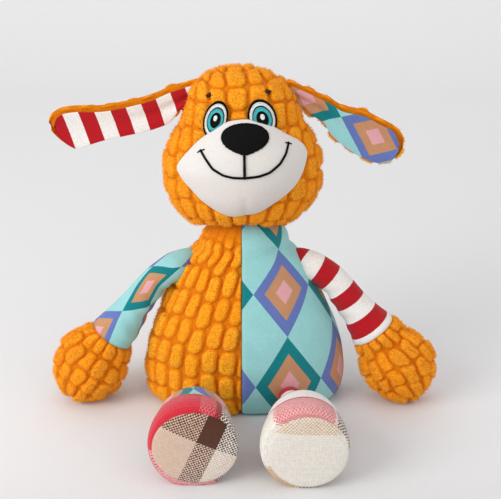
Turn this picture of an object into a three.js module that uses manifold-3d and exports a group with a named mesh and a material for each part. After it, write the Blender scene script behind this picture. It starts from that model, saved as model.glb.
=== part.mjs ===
// Squeaky dog toy: a stuffed dog that sits upright, with a squeaker in its belly.
// Millimetres, +Z up, the face looks along -Y. The origin is on the flat seat under the torso.
import * as THREE from 'three';
import { mergeVertices } from 'three/addons/utils/BufferGeometryUtils.js';
import Module from 'manifold-3d';

const wasm = await Module();
wasm.setup();

// Cloth and clearances
const clothWall = 1.2;
const clothGap = 0.3;
const jointGap = 0.4;
const seamGap = 0.3;
const cutOverrun = 40;
const smallestRing = 0.6;

// Torso
const shoulderHeight = 112;
const torsoHalfWidth = 71;
const torsoFront = 47;
const torsoBack = 43;
const torsoExponent = 2.15;
const torsoSides = 24;
const torsoInnerSides = 16;
const frontSeamX = -1.5;
// Height, half width, front depth and back depth at each station, as shares of the four sizes above
const torsoShares = [
  [0, 0.82, 0.81, 0.84],
  [0.022, 0.905, 0.895, 0.91],
  [0.071, 0.965, 0.947, 0.953],
  [0.17, 1, 0.99, 0.988],
  [0.32, 0.975, 1, 1],
  [0.48, 0.903, 0.962, 0.96],
  [0.62, 0.806, 0.885, 0.882],
  [0.75, 0.711, 0.798, 0.814],
  [0.84, 0.641, 0.734, 0.767],
  [0.91, 0.577, 0.698, 0.744],
  [0.964, 0.507, 0.672, 0.728],
];

// Neck: a round top on the torso, on which the head turns and nods
const neckRadius = 30.9;
const neckRings = 3;
const neckCoverRise = 20;
const neckCoreRadius = 14;
const neckCoreDepth = 14;
const coreSides = 16;

// Head
const headRimRise = 7.5;
// The head's lower edge rises towards the chin, so the neck shows under it
const chinRise = 5;
const chinTiltDeg = 13;
const headHeight = 110.5;
const headRim = shoulderHeight + headRimRise;
const headTop = headRim + headHeight;
const headHalfWidth = 54;
const headFront = 44;
const headBack = 43;
const headCentreX = -1;
const headSeamY = -3;
const headExponent = 2.2;
const headSides = 24;
const headInnerSides = 16;
// Height above the rim, half width, front depth and back depth, as shares of the head's sizes
const headShares = [
  [0, 0.611, 0.727, 0.74],
  [0.041, 0.66, 0.745, 0.765],
  [0.113, 0.787, 0.795, 0.837],
  [0.213, 0.926, 0.909, 0.93],
  [0.33, 1, 0.98, 0.98],
  [0.45, 1, 1, 1],
  [0.56, 0.94, 0.965, 0.98],
  [0.64, 0.84, 0.9, 0.94],
  [0.71, 0.741, 0.841, 0.895],
  [0.81, 0.665, 0.745, 0.81],
  [0.895, 0.55, 0.61, 0.665],
  [0.955, 0.405, 0.46, 0.49],
  [0.99, 0.21, 0.25, 0.26],
];

// Muzzle, nose and mouth
const muzzleHalfWidth = 41;
const muzzleHeightShare = 0.28054;
const muzzleHalfHeight = muzzleHeightShare * headHeight;
const muzzleRiseShare = 0.4887;
const muzzleCentreX = headCentreX;
const muzzleCentreZ = headRim + muzzleRiseShare * headHeight;
const muzzleBulge = 9;
const muzzleEdge = 1.6;
const muzzleExponent = 2.2;
const muzzleSwellExponent = 0.7;
const muzzleRingShares = [0.4, 0.7, 0.9, 1];
const muzzleSides = 22;
const muzzleStuffingShare = 0.86;
// Outline of the muzzle, across and up, as shares of its half width and half height
const muzzleShares = [
  [-1, 0.02],
  [-0.94, -0.22],
  [-0.78, -0.44],
  [-0.6, -0.67],
  [-0.34, -0.9],
  [-0.14, -0.98],
  [0.05, -0.94],
  [0.25, -0.89],
  [0.48, -0.7],
  [0.66, -0.54],
  [0.82, -0.35],
  [0.93, -0.1],
  [1, 0.21],
  [0.965, 0.38],
  [0.85, 0.53],
  [0.65, 0.69],
  [0.42, 0.88],
  [0.17, 0.98],
  [-0.03, 0.99],
  [-0.27, 0.92],
  [-0.54, 0.68],
  [-0.74, 0.45],
];
const noseHalfWidth = 14.6;
const noseHalfHeight = 8.6;
const noseShift = 1.9;
const noseRise = 22.1;
const nosePad = 2.4;
const noseEdgeShare = 0.5;
const noseRingShares = [0.5, 0.85, 1];
const threadRadius = 0.9;
const threadSides = 6;
const patchGap = 0.8;
const paddingGap = 0.9;
// Smile line from the left cheek to the right, across and up from the muzzle's centre
const smileShares = [
  [-0.62, 0.41],
  [-0.54, 0.27],
  [-0.44, 0.11],
  [-0.28, 0],
  [-0.13, -0.04],
  [0.04, -0.045],
  [0.25, -0.02],
  [0.42, 0.045],
  [0.57, 0.19],
  [0.66, 0.36],
  [0.7, 0.53],
];
const philtrumShares = [
  [0.035, 0.4],
  [0.038, 0.3],
  [0.04, 0.2],
  [0.04, 0.05],
];

// Eyes: flat embroidered layers, each a little smaller than the one under it. The rises of eyes
// and brows over the muzzle's centre are shares of the head's height
const eyeHalfWidth = 8.4;
const eyeHalfHeight = 11.6;
const rightEyeOut = 16.4;
const rightEyeRiseShare = 0.2724;
const rightEyeTurnDeg = -22;
const leftEyeOut = 12.6;
const leftEyeRiseShare = 0.2814;
const leftEyeTurnDeg = 24;
const eyeLayer = 0.6;
const eyeSides = 14;
const eyeWhiteShare = 0.8;
const irisShare = 0.62;
const pupilShare = 0.38;
const glintShare = 0.14;
const eyeRingShares = [0.6, 1];
const muzzleCutGap = 0.5;
const browHalfLength = 3.6;
const browHalfWidth = 1.2;
const rightBrowOut = 20.6;
const rightBrowRiseShare = 0.3955;
const leftBrowOut = 16.1;
const leftBrowRiseShare = 0.4163;
const browTurnDeg = 28;

// Ears: a plush back and a cloth lining, hinged along the seam on the head
const earRootHalfLength = 11;
const earHingeOut = 1.9;
const earHingeRiseShare = 0.8507;
const earSeamSlopeDeg = 58.7;
const earBackHalfThickness = 1.7;
const earLiningHalfThickness = 0.7;
const earLiningMargin = 2.2;
const earSides = 10;
const rightEarReach = 96.5;
const rightEarDrop = 44;
const leftEarReach = 76;
const leftEarDrop = 56;
// Upper and lower edge of each ear from the root to the tip: outward shares of its reach and
// downward shares of its drop, counted from the top end of the root
const rightEarShares = [
  [0, 0, 0.113, 0.42],
  [0.15, 0.08, 0.18, 0.6],
  [0.31, 0.22, 0.316, 0.72],
  [0.49, 0.32, 0.48, 0.8],
  [0.67, 0.38, 0.63, 0.87],
  [0.79, 0.38, 0.745, 0.95],
  [0.9, 0.41, 0.81, 1],
  [0.975, 0.5, 0.905, 0.93],
  [1, 0.6, 0.98, 0.77],
];
const leftEarShares = [
  [0, 0, 0.147, 0.33],
  [0.092, 0.04, 0.203, 0.42],
  [0.212, 0.11, 0.304, 0.5],
  [0.341, 0.18, 0.375, 0.65],
  [0.47, 0.28, 0.5, 0.8],
  [0.64, 0.33, 0.64, 0.92],
  [0.79, 0.43, 0.79, 0.99],
  [0.94, 0.54, 0.92, 0.96],
  [1, 0.66, 0.985, 0.87],
];

// Round root of each limb: rings behind the joint, as shares of the root's radius
const rootRingShares = [0.87, 0.5, 0];

// Arms
const shoulderOut = 4.1;
const shoulderY = -7;
const shoulderDrop = 15.5;
const shoulderZ = shoulderHeight - shoulderDrop;
const armRootRadius = 12;
const armLieGap = 1.4;
const armOut = 77.5;
const armForward = 9;
const pawTipHeight = 3.6;
const armDown = shoulderZ - pawTipHeight;
const pawRadius = 26.4;
const pawDepthShare = 0.86;
const wristShare = 0.545;
const limbSides = 14;
const limbInnerSides = 10;
const shoulderCoreRadius = 6.5;
const shoulderCoreInnerX = 19;
// Along the arm and bowed outwards as shares of its length, then the width as a share of pawRadius
const pawShares = [
  [0.585, 0.022, 0.77],
  [0.65, 0.019, 0.92],
  [0.73, 0.015, 1],
  [0.81, 0.01, 0.985],
  [0.89, 0.006, 0.84],
  [0.955, 0.002, 0.54],
];
const rightSleeveShares = [
  [0.12, 0.034, 0.37],
  [0.29, 0.034, 0.42],
  [0.42, 0.028, 0.51],
  [wristShare, 0.025, 0.62],
];
const leftSleeveShares = [
  [0.12, 0.034, 0.41],
  [0.29, 0.034, 0.51],
  [0.42, 0.028, 0.61],
  [wristShare, 0.025, 0.71],
];

// Legs and feet
const hipX = 31;
const hipOut = 5.2;
const hipZ = 17;
const legRootRadius = 11;
const hipCupWall = 3;
const hipCupFront = 10;
const legReach = 77;
const rightFootX = -30.5;
const leftFootX = 36.5;
const footRadius = 27.3;
const floorDip = 1.2;
const footCentreZ = footRadius - floorDip;
const ankleShare = 0.68;
const soleShare = 0.92;
// Along the leg as a share of its reach, then the radius as a share of footRadius
const legShares = [
  [0.16, 0.42],
  [0.3, 0.49],
  [0.43, 0.6],
  [0.555, 0.79],
  [ankleShare, 0.95],
  [0.79, 1],
  [0.88, 0.99],
  [soleShare, 0.96],
  [0.96, 0.82],
  [0.99, 0.46],
];

// Squeaker in its pocket in the torso stuffing
const squeakerZ = 48;
const squeakerY = 2;
const squeakerRadius = 20;
const squeakerHalfHeight = 13;
const squeakerWall = 1.2;
const squeakerBaseHeight = 8;
const squeakerDomeHeight = 9;
const squeakerCrown = 4;
const squeakerSides = 16;
const bellowsFold = 2.4;
const bellowsInset = 3.2;
const whistleRadius = 5;
const whistleWall = 1.1;
const whistleHeight = 11;
const reedThickness = 0.5;
const reedHeight = 7;
const pocketClearance = 0.8;

// Closing stitches on the back seam
const stitchLow = 34;
const stitchPitch = 5;
const stitchCount = 8;
const stitchHalfWidth = 2.6;
const stitchRadius = 0.5;

// Colours, roughness
const orange = 0xf5a623;
const printAqua = 0x8ec9c9;
const stripeRed = 0xb31420;
const muzzleWhite = 0xf1eeea;
const stuffingWhite = 0xf4f2ee;
const threadBlack = 0x1c1c1c;
const eyeWhiteColour = 0xf5f4f2;
const irisTurquoise = 0x45bec4;
const browMaroon = 0x4e1420;
const soleCream = 0xd8c8a8;
const checkBrown = 0x7a4a38;
const clearPlastic = 0xe6e9ea;
const reedColour = 0xc9ced2;
const clothRoughness = 0.95;
const threadRoughness = 0.6;
const plasticRoughness = 0.35;

// Unit directions
const up = new THREE.Vector3(0, 0, 1);
const right = new THREE.Vector3(1, 0, 0);
const back = new THREE.Vector3(0, 1, 0);

const toy = new THREE.Group();

function addPart(name, geometry, colour, roughness = clothRoughness) {
  const material = new THREE.MeshStandardMaterial({ color: colour, roughness, metalness: 0 });
  const mesh = new THREE.Mesh(geometry, material);
  mesh.name = name;
  toy.add(mesh);
  return mesh;
}

// A closed three.js geometry as a solid for cutting
function solidOf(geometry) {
  const bare = geometry.clone();
  bare.deleteAttribute('normal');
  bare.deleteAttribute('uv');
  const merged = mergeVertices(bare);
  return new wasm.Manifold(new wasm.Mesh({
    numProp: 3,
    vertProperties: Float32Array.from(merged.attributes.position.array),
    triVerts: Uint32Array.from(merged.index.array),
  }));
}

function geometryOf(solid) {
  const cut = solid.getMesh();
  const geometry = new THREE.BufferGeometry();
  geometry.setAttribute('position', new THREE.BufferAttribute(cut.vertProperties, 3));
  geometry.setIndex(new THREE.BufferAttribute(cut.triVerts, 1));
  geometry.computeVertexNormals();
  return geometry;
}

// Signed volume tells whether the faces point outwards
function pointsOutwards(points, triangles) {
  let volume = 0;
  for (const [a, b, c] of triangles) {
    volume += points[a].dot(points[b].clone().cross(points[c]));
  }
  return volume > 0;
}

function meshOf(points, triangles) {
  const outwards = pointsOutwards(points, triangles);
  const geometry = new THREE.BufferGeometry().setFromPoints(points);
  geometry.setIndex(triangles.flatMap(([a, b, c]) => (outwards ? [a, b, c] : [a, c, b])));
  geometry.computeVertexNormals();
  return geometry;
}

// Closed skin through rings of points, with a point at each end
function loft(rings, startPoint, endPoint) {
  const count = rings[0].length;
  const points = rings.flat();
  const triangles = [];
  for (let i = 0; i + 1 < rings.length; i += 1) {
    for (let k = 0; k < count; k += 1) {
      const a = i * count + k;
      const b = i * count + (k + 1) % count;
      triangles.push([a, b, b + count], [a, b + count, a + count]);
    }
  }
  const start = points.push(startPoint) - 1;
  const end = points.push(endPoint) - 1;
  const last = (rings.length - 1) * count;
  for (let k = 0; k < count; k += 1) {
    const next = (k + 1) % count;
    triangles.push([start, next, k], [end, last + k, last + next]);
  }
  return meshOf(points, triangles);
}

function bentPower(value, squareness) {
  return Math.sign(value) * Math.abs(value) ** (2 / squareness);
}

// A rounded ring about a centre, with its own reach each way along two directions
function ringAt(centre, across, deep, reach, sides, squareness = 2) {
  const ring = [];
  for (let k = 0; k < sides; k += 1) {
    const angle = (2 * Math.PI * k) / sides;
    const x = bentPower(Math.cos(angle), squareness);
    const y = bentPower(Math.sin(angle), squareness);
    const point = centre.clone();
    point.addScaledVector(across, x * (x < 0 ? reach.left : reach.right));
    point.addScaledVector(deep, y * (y < 0 ? reach.front : reach.back));
    ring.push(point);
  }
  return ring;
}

function evenReach(radius) {
  return { left: radius, right: radius, front: radius, back: radius };
}

function atLeastSmallest(value) {
  return Math.max(value, smallestRing);
}

function ball(centre, radius, sides = coreSides) {
  const geometry = new THREE.SphereGeometry(radius, sides, sides / 2);
  geometry.rotateX(Math.PI / 2);
  geometry.translate(centre.x, centre.y, centre.z);
  return solidOf(geometry);
}

// A straight rod between two points
function rod(start, end, radius, sides = coreSides) {
  const axis = end.clone().sub(start);
  const geometry = new THREE.CylinderGeometry(radius, radius, axis.length(), sides);
  geometry.applyQuaternion(new THREE.Quaternion().setFromUnitVectors(back, axis.clone().normalize()));
  geometry.translate((start.x + end.x) / 2, (start.y + end.y) / 2, (start.z + end.z) / 2);
  return solidOf(geometry);
}

// Everything on the side of a plane that its normal points to
function sideOf(point, normal) {
  const size = headTop + legReach + cutOverrun;
  const geometry = new THREE.BoxGeometry(2 * size, 2 * size, size);
  geometry.translate(0, 0, size / 2);
  geometry.applyQuaternion(new THREE.Quaternion().setFromUnitVectors(up, normal.clone().normalize()));
  geometry.translate(point.x, point.y, point.z);
  return solidOf(geometry);
}

const floorCut = sideOf(new THREE.Vector3(), up.clone().negate());

// The row of a share table at a height share, worked out between its stations
function rowAt(table, share) {
  const height = THREE.MathUtils.clamp(share, table[0][0], table.at(-1)[0]);
  const next = Math.max(table.findIndex((row) => row[0] >= height), 1);
  const low = table[next - 1];
  const high = table[next];
  const t = (height - low[0]) / (high[0] - low[0]);
  return low.map((value, i) => THREE.MathUtils.lerp(value, high[i], t));
}

// How deep a rounded ring is at a place along its width
function ringDepth(place, width, depth, squareness) {
  const sideways = Math.min(Math.abs(place) / width, 1);
  return depth * (1 - sideways ** squareness) ** (1 / squareness);
}

// Joint centres
const neckCentre = new THREE.Vector3(0, 0, shoulderHeight);
const sideNames = ['left', 'right'];
const sideSign = { left: 1, right: -1 };
const shoulderCentre = {};
const hipCentre = {};
const [, shoulderRowWidth, shoulderRowFront] = rowAt(torsoShares, shoulderZ / shoulderHeight);
const shoulderX = shoulderOut + ringDepth(
  shoulderY, torsoFront * shoulderRowFront, torsoHalfWidth * shoulderRowWidth, torsoExponent,
);
const [, hipRowWidth, hipRowFront] = rowAt(torsoShares, hipZ / shoulderHeight);
const hipY = -hipOut - ringDepth(
  hipX, torsoHalfWidth * hipRowWidth, torsoFront * hipRowFront, torsoExponent,
);
for (const side of sideNames) {
  const sign = sideSign[side];
  shoulderCentre[side] = new THREE.Vector3(sign * shoulderX, shoulderY, shoulderZ);
  hipCentre[side] = new THREE.Vector3(sign * hipX, hipY, hipZ);
}

// Torso form: stations up to the shoulders, then the round neck
function torsoForm(inset) {
  const sides = inset === 0 ? torsoSides : torsoInnerSides;
  const rings = [];
  for (const [height, width, front, rear] of torsoShares) {
    const z = inset + height * (shoulderHeight - inset);
    const reach = {
      left: torsoHalfWidth * width - inset,
      right: torsoHalfWidth * width - inset,
      front: torsoFront * front - inset,
      back: torsoBack * rear - inset,
    };
    rings.push(ringAt(new THREE.Vector3(0, 0, z), right, back, reach, sides, torsoExponent));
  }
  const base = new THREE.Vector3(0, 0, inset);
  const radius = neckRadius - inset;
  for (let i = 0; i <= neckRings; i += 1) {
    const angle = (i / (neckRings + 1)) * (Math.PI / 2);
    const centre = neckCentre.clone().addScaledVector(up, radius * Math.sin(angle));
    rings.push(ringAt(centre, right, back, evenReach(radius * Math.cos(angle)), sides));
  }
  return loft(rings, base, neckCentre.clone().addScaledVector(up, radius));
}

// Head form above the rim; an inner form runs on below the rim so that it cuts right through
function headForm(inset) {
  const sides = inset > 0 ? headInnerSides : headSides;
  const rings = [];
  const height = headTop - headRim;
  for (const [rise, width, front, rear] of headShares) {
    const centre = new THREE.Vector3(headCentreX, 0, headRim + rise * (height - inset));
    const reach = {
      left: atLeastSmallest(headHalfWidth * width - inset),
      right: atLeastSmallest(headHalfWidth * width - inset),
      front: atLeastSmallest(headFront * front - inset),
      back: atLeastSmallest(headBack * rear - inset),
    };
    rings.push(ringAt(centre, right, back, reach, sides, headExponent));
  }
  if (inset > 0) {
    const below = rings[0].map((point) => point.clone().addScaledVector(up, -cutOverrun));
    rings.unshift(below);
  }
  const bottom = new THREE.Vector3(headCentreX, 0, rings[0][0].z);
  const top = new THREE.Vector3(headCentreX, 0, headTop - inset);
  return loft(rings, bottom, top);
}

function headRowAt(z) {
  return rowAt(headShares, (z - headRim) / headHeight);
}

// How far forward the head's front lies at a place on the face
function faceY(x, z) {
  const [, width, front] = headRowAt(z);
  return -ringDepth(x - headCentreX, headHalfWidth * width, headFront * front, headExponent);
}

// Distance from a centre to an outline, in a direction given by an angle
function outlineReach(outline, angle) {
  const direction = new THREE.Vector2(Math.cos(angle), Math.sin(angle));
  for (let i = 0; i < outline.length; i += 1) {
    const a = outline[i];
    const b = outline[(i + 1) % outline.length];
    const turnA = direction.cross(a);
    const turnB = direction.cross(b);
    if (turnA * turnB <= 0 && turnA !== turnB) {
      const point = a.clone().lerp(b, turnA / (turnA - turnB));
      if (point.dot(direction) > 0) return point.length();
    }
  }
  return outline[0].length();
}

const muzzleOutline = muzzleShares.map(([x, z]) => (
  new THREE.Vector2(x * muzzleHalfWidth, z * muzzleHalfHeight)
));

// 0 at the muzzle's centre, 1 on its outline
function muzzleRadiusShare(x, z) {
  const place = new THREE.Vector2(x - muzzleCentreX, z - muzzleCentreZ);
  if (place.length() === 0) return 0;
  return Math.min(place.length() / outlineReach(muzzleOutline, Math.atan2(place.y, place.x)), 1);
}

function muzzleSwell(x, z) {
  return muzzleBulge * (1 - muzzleRadiusShare(x, z) ** muzzleExponent) ** muzzleSwellExponent;
}

function muzzleY(x, z) {
  return faceY(x, z) - muzzleEdge - muzzleSwell(x, z);
}

// A padded patch on a surface: an outline filled with rings, with an outer and an inner height
function patch({ centre, outline, sides, ringShares, surface, outer, inner }) {
  const front = [];
  const rear = [];
  for (const share of ringShares) {
    const frontRing = [];
    const rearRing = [];
    for (let k = 0; k < sides; k += 1) {
      const angle = (2 * Math.PI * k) / sides;
      const reach = outlineReach(outline, angle) * share;
      const x = centre.x + reach * Math.cos(angle);
      const z = centre.y + reach * Math.sin(angle);
      frontRing.push(new THREE.Vector3(x, surface(x, z) - outer(x, z, share), z));
      rearRing.push(new THREE.Vector3(x, surface(x, z) - inner(x, z, share), z));
    }
    front.push(frontRing);
    rear.push(rearRing);
  }
  const { x, y: z } = centre;
  const frontPole = new THREE.Vector3(x, surface(x, z) - outer(x, z, 0), z);
  const rearPole = new THREE.Vector3(x, surface(x, z) - inner(x, z, 0), z);
  return loft([...front, ...rear.reverse()], frontPole, rearPole);
}

function ovalOutline(halfWidth, halfHeight, turnDeg, sides) {
  const outline = [];
  for (let k = 0; k < sides; k += 1) {
    const angle = (2 * Math.PI * k) / sides;
    const point = new THREE.Vector2(halfWidth * Math.cos(angle), halfHeight * Math.sin(angle));
    outline.push(point.rotateAround(new THREE.Vector2(), THREE.MathUtils.degToRad(turnDeg)));
  }
  return outline;
}

// Thread laid along a list of points
function threadAlong(points, radius, sides = threadSides) {
  const curve = new THREE.CatmullRomCurve3(points);
  const steps = (points.length - 1) * 2;
  const rings = [];
  for (let i = 0; i <= steps; i += 1) {
    const along = curve.getTangentAt(i / steps);
    const across = along.clone().cross(back).normalize();
    const deep = along.clone().cross(across).normalize();
    rings.push(ringAt(curve.getPointAt(i / steps), across, deep, evenReach(radius), sides));
  }
  return loft(rings, curve.getPointAt(0), curve.getPointAt(1));
}

// Limb form: a round root about its joint, then stations out to the tip
function limbForm({ root, rootRadius, stations, tip, inset }) {
  const deepest = (stations[0].centre.clone().sub(root)).normalize();
  const sides = inset > 0 ? limbInnerSides : limbSides;
  const rings = [];
  const frame = (along) => {
    const across = Math.abs(along.y) > Math.abs(along.z) ? right.clone() : back.clone();
    const deep = along.clone().cross(across).normalize();
    return [deep.clone().cross(along).normalize(), deep];
  };
  const radius = rootRadius - inset;
  const [rootAcross, rootDeep] = frame(deepest);
  for (const share of rootRingShares) {
    const centre = root.clone().addScaledVector(deepest, -radius * share);
    const reach = evenReach(radius * Math.sqrt(1 - share * share));
    rings.push(ringAt(centre, rootAcross, rootDeep, reach, sides));
  }
  const centres = [root, ...stations.map((station) => station.centre), tip];
  stations.forEach((station, i) => {
    const along = centres[i + 2].clone().sub(centres[i]).normalize();
    const [across, deep] = frame(along);
    const wide = atLeastSmallest(station.radius - inset);
    const thick = atLeastSmallest(station.radius * station.depth - inset);
    const reach = { left: thick, right: thick, front: wide, back: wide };
    const centre = station.centre.clone().addScaledVector(along, -inset * station.nearTip);
    rings.push(ringAt(centre, across, deep, reach, sides));
  });
  const lastAlong = tip.clone().sub(stations.at(-1).centre).normalize();
  const start = root.clone().addScaledVector(deepest, -radius);
  return loft(rings, start, tip.clone().addScaledVector(lastAlong, -inset));
}

function armStations(side) {
  const sign = sideSign[side];
  const along = new THREE.Vector3(sign * armOut, -armForward, -armDown);
  const bow = new THREE.Vector3(sign * armDown, 0, armOut).normalize();
  const sleeve = side === 'left' ? leftSleeveShares : rightSleeveShares;
  const place = ([share, bowShare, width], depth) => ({
    centre: shoulderCentre[side].clone()
      .addScaledVector(along, share)
      .addScaledVector(bow, bowShare * along.length()),
    radius: width * pawRadius,
    depth,
    nearTip: Math.max(share - wristShare, 0) / (1 - wristShare),
  });
  const stations = sleeve.map((row) => place(row, 1));
  stations.push(...pawShares.map((row) => place(row, pawDepthShare)));
  return { stations, tip: shoulderCentre[side].clone().add(along), along };
}

function legStations(side) {
  const root = hipCentre[side];
  const footX = side === 'left' ? leftFootX : rightFootX;
  const tip = new THREE.Vector3(footX, hipY - legReach, footCentreZ);
  const stations = legShares.map(([share, width]) => ({
    centre: new THREE.Vector3(
      THREE.MathUtils.lerp(root.x, footX, Math.min(share / ankleShare, 1)),
      hipY - legReach * share,
      THREE.MathUtils.lerp(hipZ, footCentreZ, Math.min(share / ankleShare, 1)),
    ),
    radius: width * footRadius,
    depth: 1,
    nearTip: Math.max(share - ankleShare, 0) / (1 - ankleShare),
  }));
  return { stations, tip };
}

// Torso, with its sockets for the limbs and its squeaker pocket
const stuffingInset = clothWall + clothGap;
const pocketRadius = Math.hypot(squeakerRadius, squeakerHalfHeight - squeakerCrown) + pocketClearance;
const pocketEnd = new THREE.Vector3(0, torsoBack + cutOverrun, squeakerZ);
let torsoShell = solidOf(torsoForm(0)).subtract(solidOf(torsoForm(clothWall)));
const chinTilt = THREE.MathUtils.degToRad(chinTiltDeg);
const chinUp = new THREE.Vector3(0, Math.sin(chinTilt), Math.cos(chinTilt));
const neckCoverTop = neckCentre.clone().addScaledVector(up, neckCoverRise);
torsoShell = torsoShell.subtract(sideOf(neckCoverTop, chinUp));
let torsoStuffing = solidOf(torsoForm(stuffingInset));
for (const side of sideNames) {
  const shoulder = shoulderCentre[side];
  const inner = new THREE.Vector3(sideSign[side] * (shoulderCoreInnerX - jointGap), shoulderY, shoulderZ);
  const shoulderSocket = ball(shoulder, armRootRadius + 2 * jointGap);
  const hipSocket = ball(hipCentre[side], legRootRadius + hipCupWall + 2 * jointGap);
  const coreHole = rod(inner, shoulder, shoulderCoreRadius + jointGap);
  torsoShell = torsoShell.subtract(shoulderSocket).subtract(hipSocket).subtract(coreHole);
  torsoStuffing = torsoStuffing.subtract(shoulderSocket).subtract(hipSocket).subtract(coreHole);
}
const neckCoreBottom = neckCentre.clone().addScaledVector(up, -neckCoreDepth);
const neckCoreEnd = neckCentre.clone().addScaledVector(up, neckRadius + cutOverrun);
const neckHoleBottom = neckCoreBottom.clone().addScaledVector(up, -jointGap);
torsoStuffing = torsoStuffing.subtract(rod(neckHoleBottom, neckCoreEnd, neckCoreRadius + jointGap));
const pocketStart = new THREE.Vector3(0, squeakerY - squeakerRadius - pocketClearance, squeakerZ);
torsoStuffing = torsoStuffing.subtract(rod(pocketStart, pocketEnd, pocketRadius));
const seamLeft = new THREE.Vector3(frontSeamX - seamGap / 2, 0, 0);
const seamRight = new THREE.Vector3(frontSeamX + seamGap / 2, 0, 0);
const plushHalf = torsoShell.intersect(sideOf(seamLeft, right.clone().negate()));
const printHalf = torsoShell.intersect(sideOf(seamRight, right));
addPart('body_plush_cover', geometryOf(plushHalf), orange);
addPart('body_print_cover', geometryOf(printHalf), printAqua);
addPart('body_stuffing', geometryOf(torsoStuffing), stuffingWhite);
const backingStart = new THREE.Vector3(0, squeakerY + squeakerRadius + pocketClearance, squeakerZ);
const backing = rod(backingStart, pocketEnd, pocketRadius - clothGap)
  .intersect(solidOf(torsoForm(stuffingInset)));
addPart('squeaker_backing_stuffing', geometryOf(backing), stuffingWhite);

// Ladder of closing stitches down the back seam, as one zigzag thread
const stitchPoints = [];
for (let i = 0; i <= stitchCount; i += 1) {
  const z = stitchLow + i * stitchPitch;
  const x = frontSeamX + (i % 2 === 0 ? -stitchHalfWidth : stitchHalfWidth);
  const [, width, , rear] = rowAt(torsoShares, z / shoulderHeight);
  const backY = ringDepth(x, torsoHalfWidth * width, torsoBack * rear, torsoExponent);
  stitchPoints.push(new THREE.Vector3(x, backY + stitchRadius + clothGap, z));
}
addPart('back_closing_thread', threadAlong(stitchPoints, stitchRadius), orange, threadRoughness);

// Squeaker: base, bellows and dome, with a whistle in the base
const squeakerBottom = squeakerZ - squeakerHalfHeight;
const squeakerTop = squeakerZ + squeakerHalfHeight;

function turnedPart(name, profile, colour) {
  const points = profile.map(([r, z]) => new THREE.Vector2(r, z));
  points.push(points[0].clone());
  const geometry = new THREE.LatheGeometry(points, squeakerSides);
  geometry.rotateX(Math.PI / 2);
  geometry.translate(0, squeakerY, 0);
  const merged = geometryOf(solidOf(geometry));
  addPart(name, merged, colour, plasticRoughness);
}

const whistleHole = whistleRadius + clothGap;
const baseTop = squeakerBottom + squeakerBaseHeight;
const domeBottom = squeakerTop - squeakerDomeHeight;
const innerRadius = squeakerRadius - squeakerWall;
turnedPart('squeaker_base', [
  [whistleHole, squeakerBottom],
  [squeakerRadius - squeakerCrown, squeakerBottom],
  [squeakerRadius, squeakerBottom + squeakerCrown],
  [squeakerRadius, baseTop],
  [innerRadius - bellowsInset, baseTop],
  [innerRadius - bellowsInset, baseTop - squeakerWall],
  [innerRadius, baseTop - squeakerWall],
  [innerRadius, squeakerBottom + squeakerCrown],
  [innerRadius - squeakerCrown, squeakerBottom + squeakerWall],
  [whistleHole, squeakerBottom + squeakerWall],
], clearPlastic);
const bellowsLow = baseTop + clothGap;
const bellowsHigh = domeBottom - clothGap;
const bellowsRadius = squeakerRadius - squeakerWall / 2;
const bellowsMiddle = (bellowsLow + bellowsHigh) / 2;
turnedPart('squeaker_bellows', [
  [bellowsRadius - squeakerWall, bellowsLow],
  [bellowsRadius, bellowsLow],
  [bellowsRadius - bellowsFold, bellowsMiddle],
  [bellowsRadius, bellowsHigh],
  [bellowsRadius - squeakerWall, bellowsHigh],
  [bellowsRadius - bellowsFold - squeakerWall, bellowsMiddle],
], clearPlastic);
turnedPart('squeaker_dome', [
  [0, squeakerTop],
  [0, squeakerTop - squeakerWall],
  [innerRadius - squeakerCrown, squeakerTop - squeakerWall],
  [innerRadius, squeakerTop - squeakerCrown],
  [innerRadius, domeBottom + squeakerWall],
  [innerRadius - bellowsInset, domeBottom + squeakerWall],
  [innerRadius - bellowsInset, domeBottom],
  [squeakerRadius, domeBottom],
  [squeakerRadius, squeakerTop - squeakerCrown],
  [squeakerRadius - squeakerCrown, squeakerTop],
], clearPlastic);
turnedPart('squeaker_whistle', [
  [whistleRadius - whistleWall, squeakerBottom],
  [whistleRadius, squeakerBottom],
  [whistleRadius, squeakerBottom + whistleHeight],
  [whistleRadius - whistleWall, squeakerBottom + whistleHeight],
], clearPlastic);
const reedWidth = 2 * (whistleRadius - whistleWall - clothGap);
const reed = new THREE.BoxGeometry(reedWidth, reedThickness, reedHeight);
reed.translate(0, squeakerY, squeakerBottom + whistleHeight / 2);
addPart('squeaker_reed', reed, reedColour, plasticRoughness);

// Neck stuffing, which turns in the torso
const neckCore = rod(neckCoreBottom, neckCoreEnd, neckCoreRadius).intersect(ball(neckCentre, neckRadius));
addPart('neck_stuffing', geometryOf(neckCore), stuffingWhite);

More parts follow.
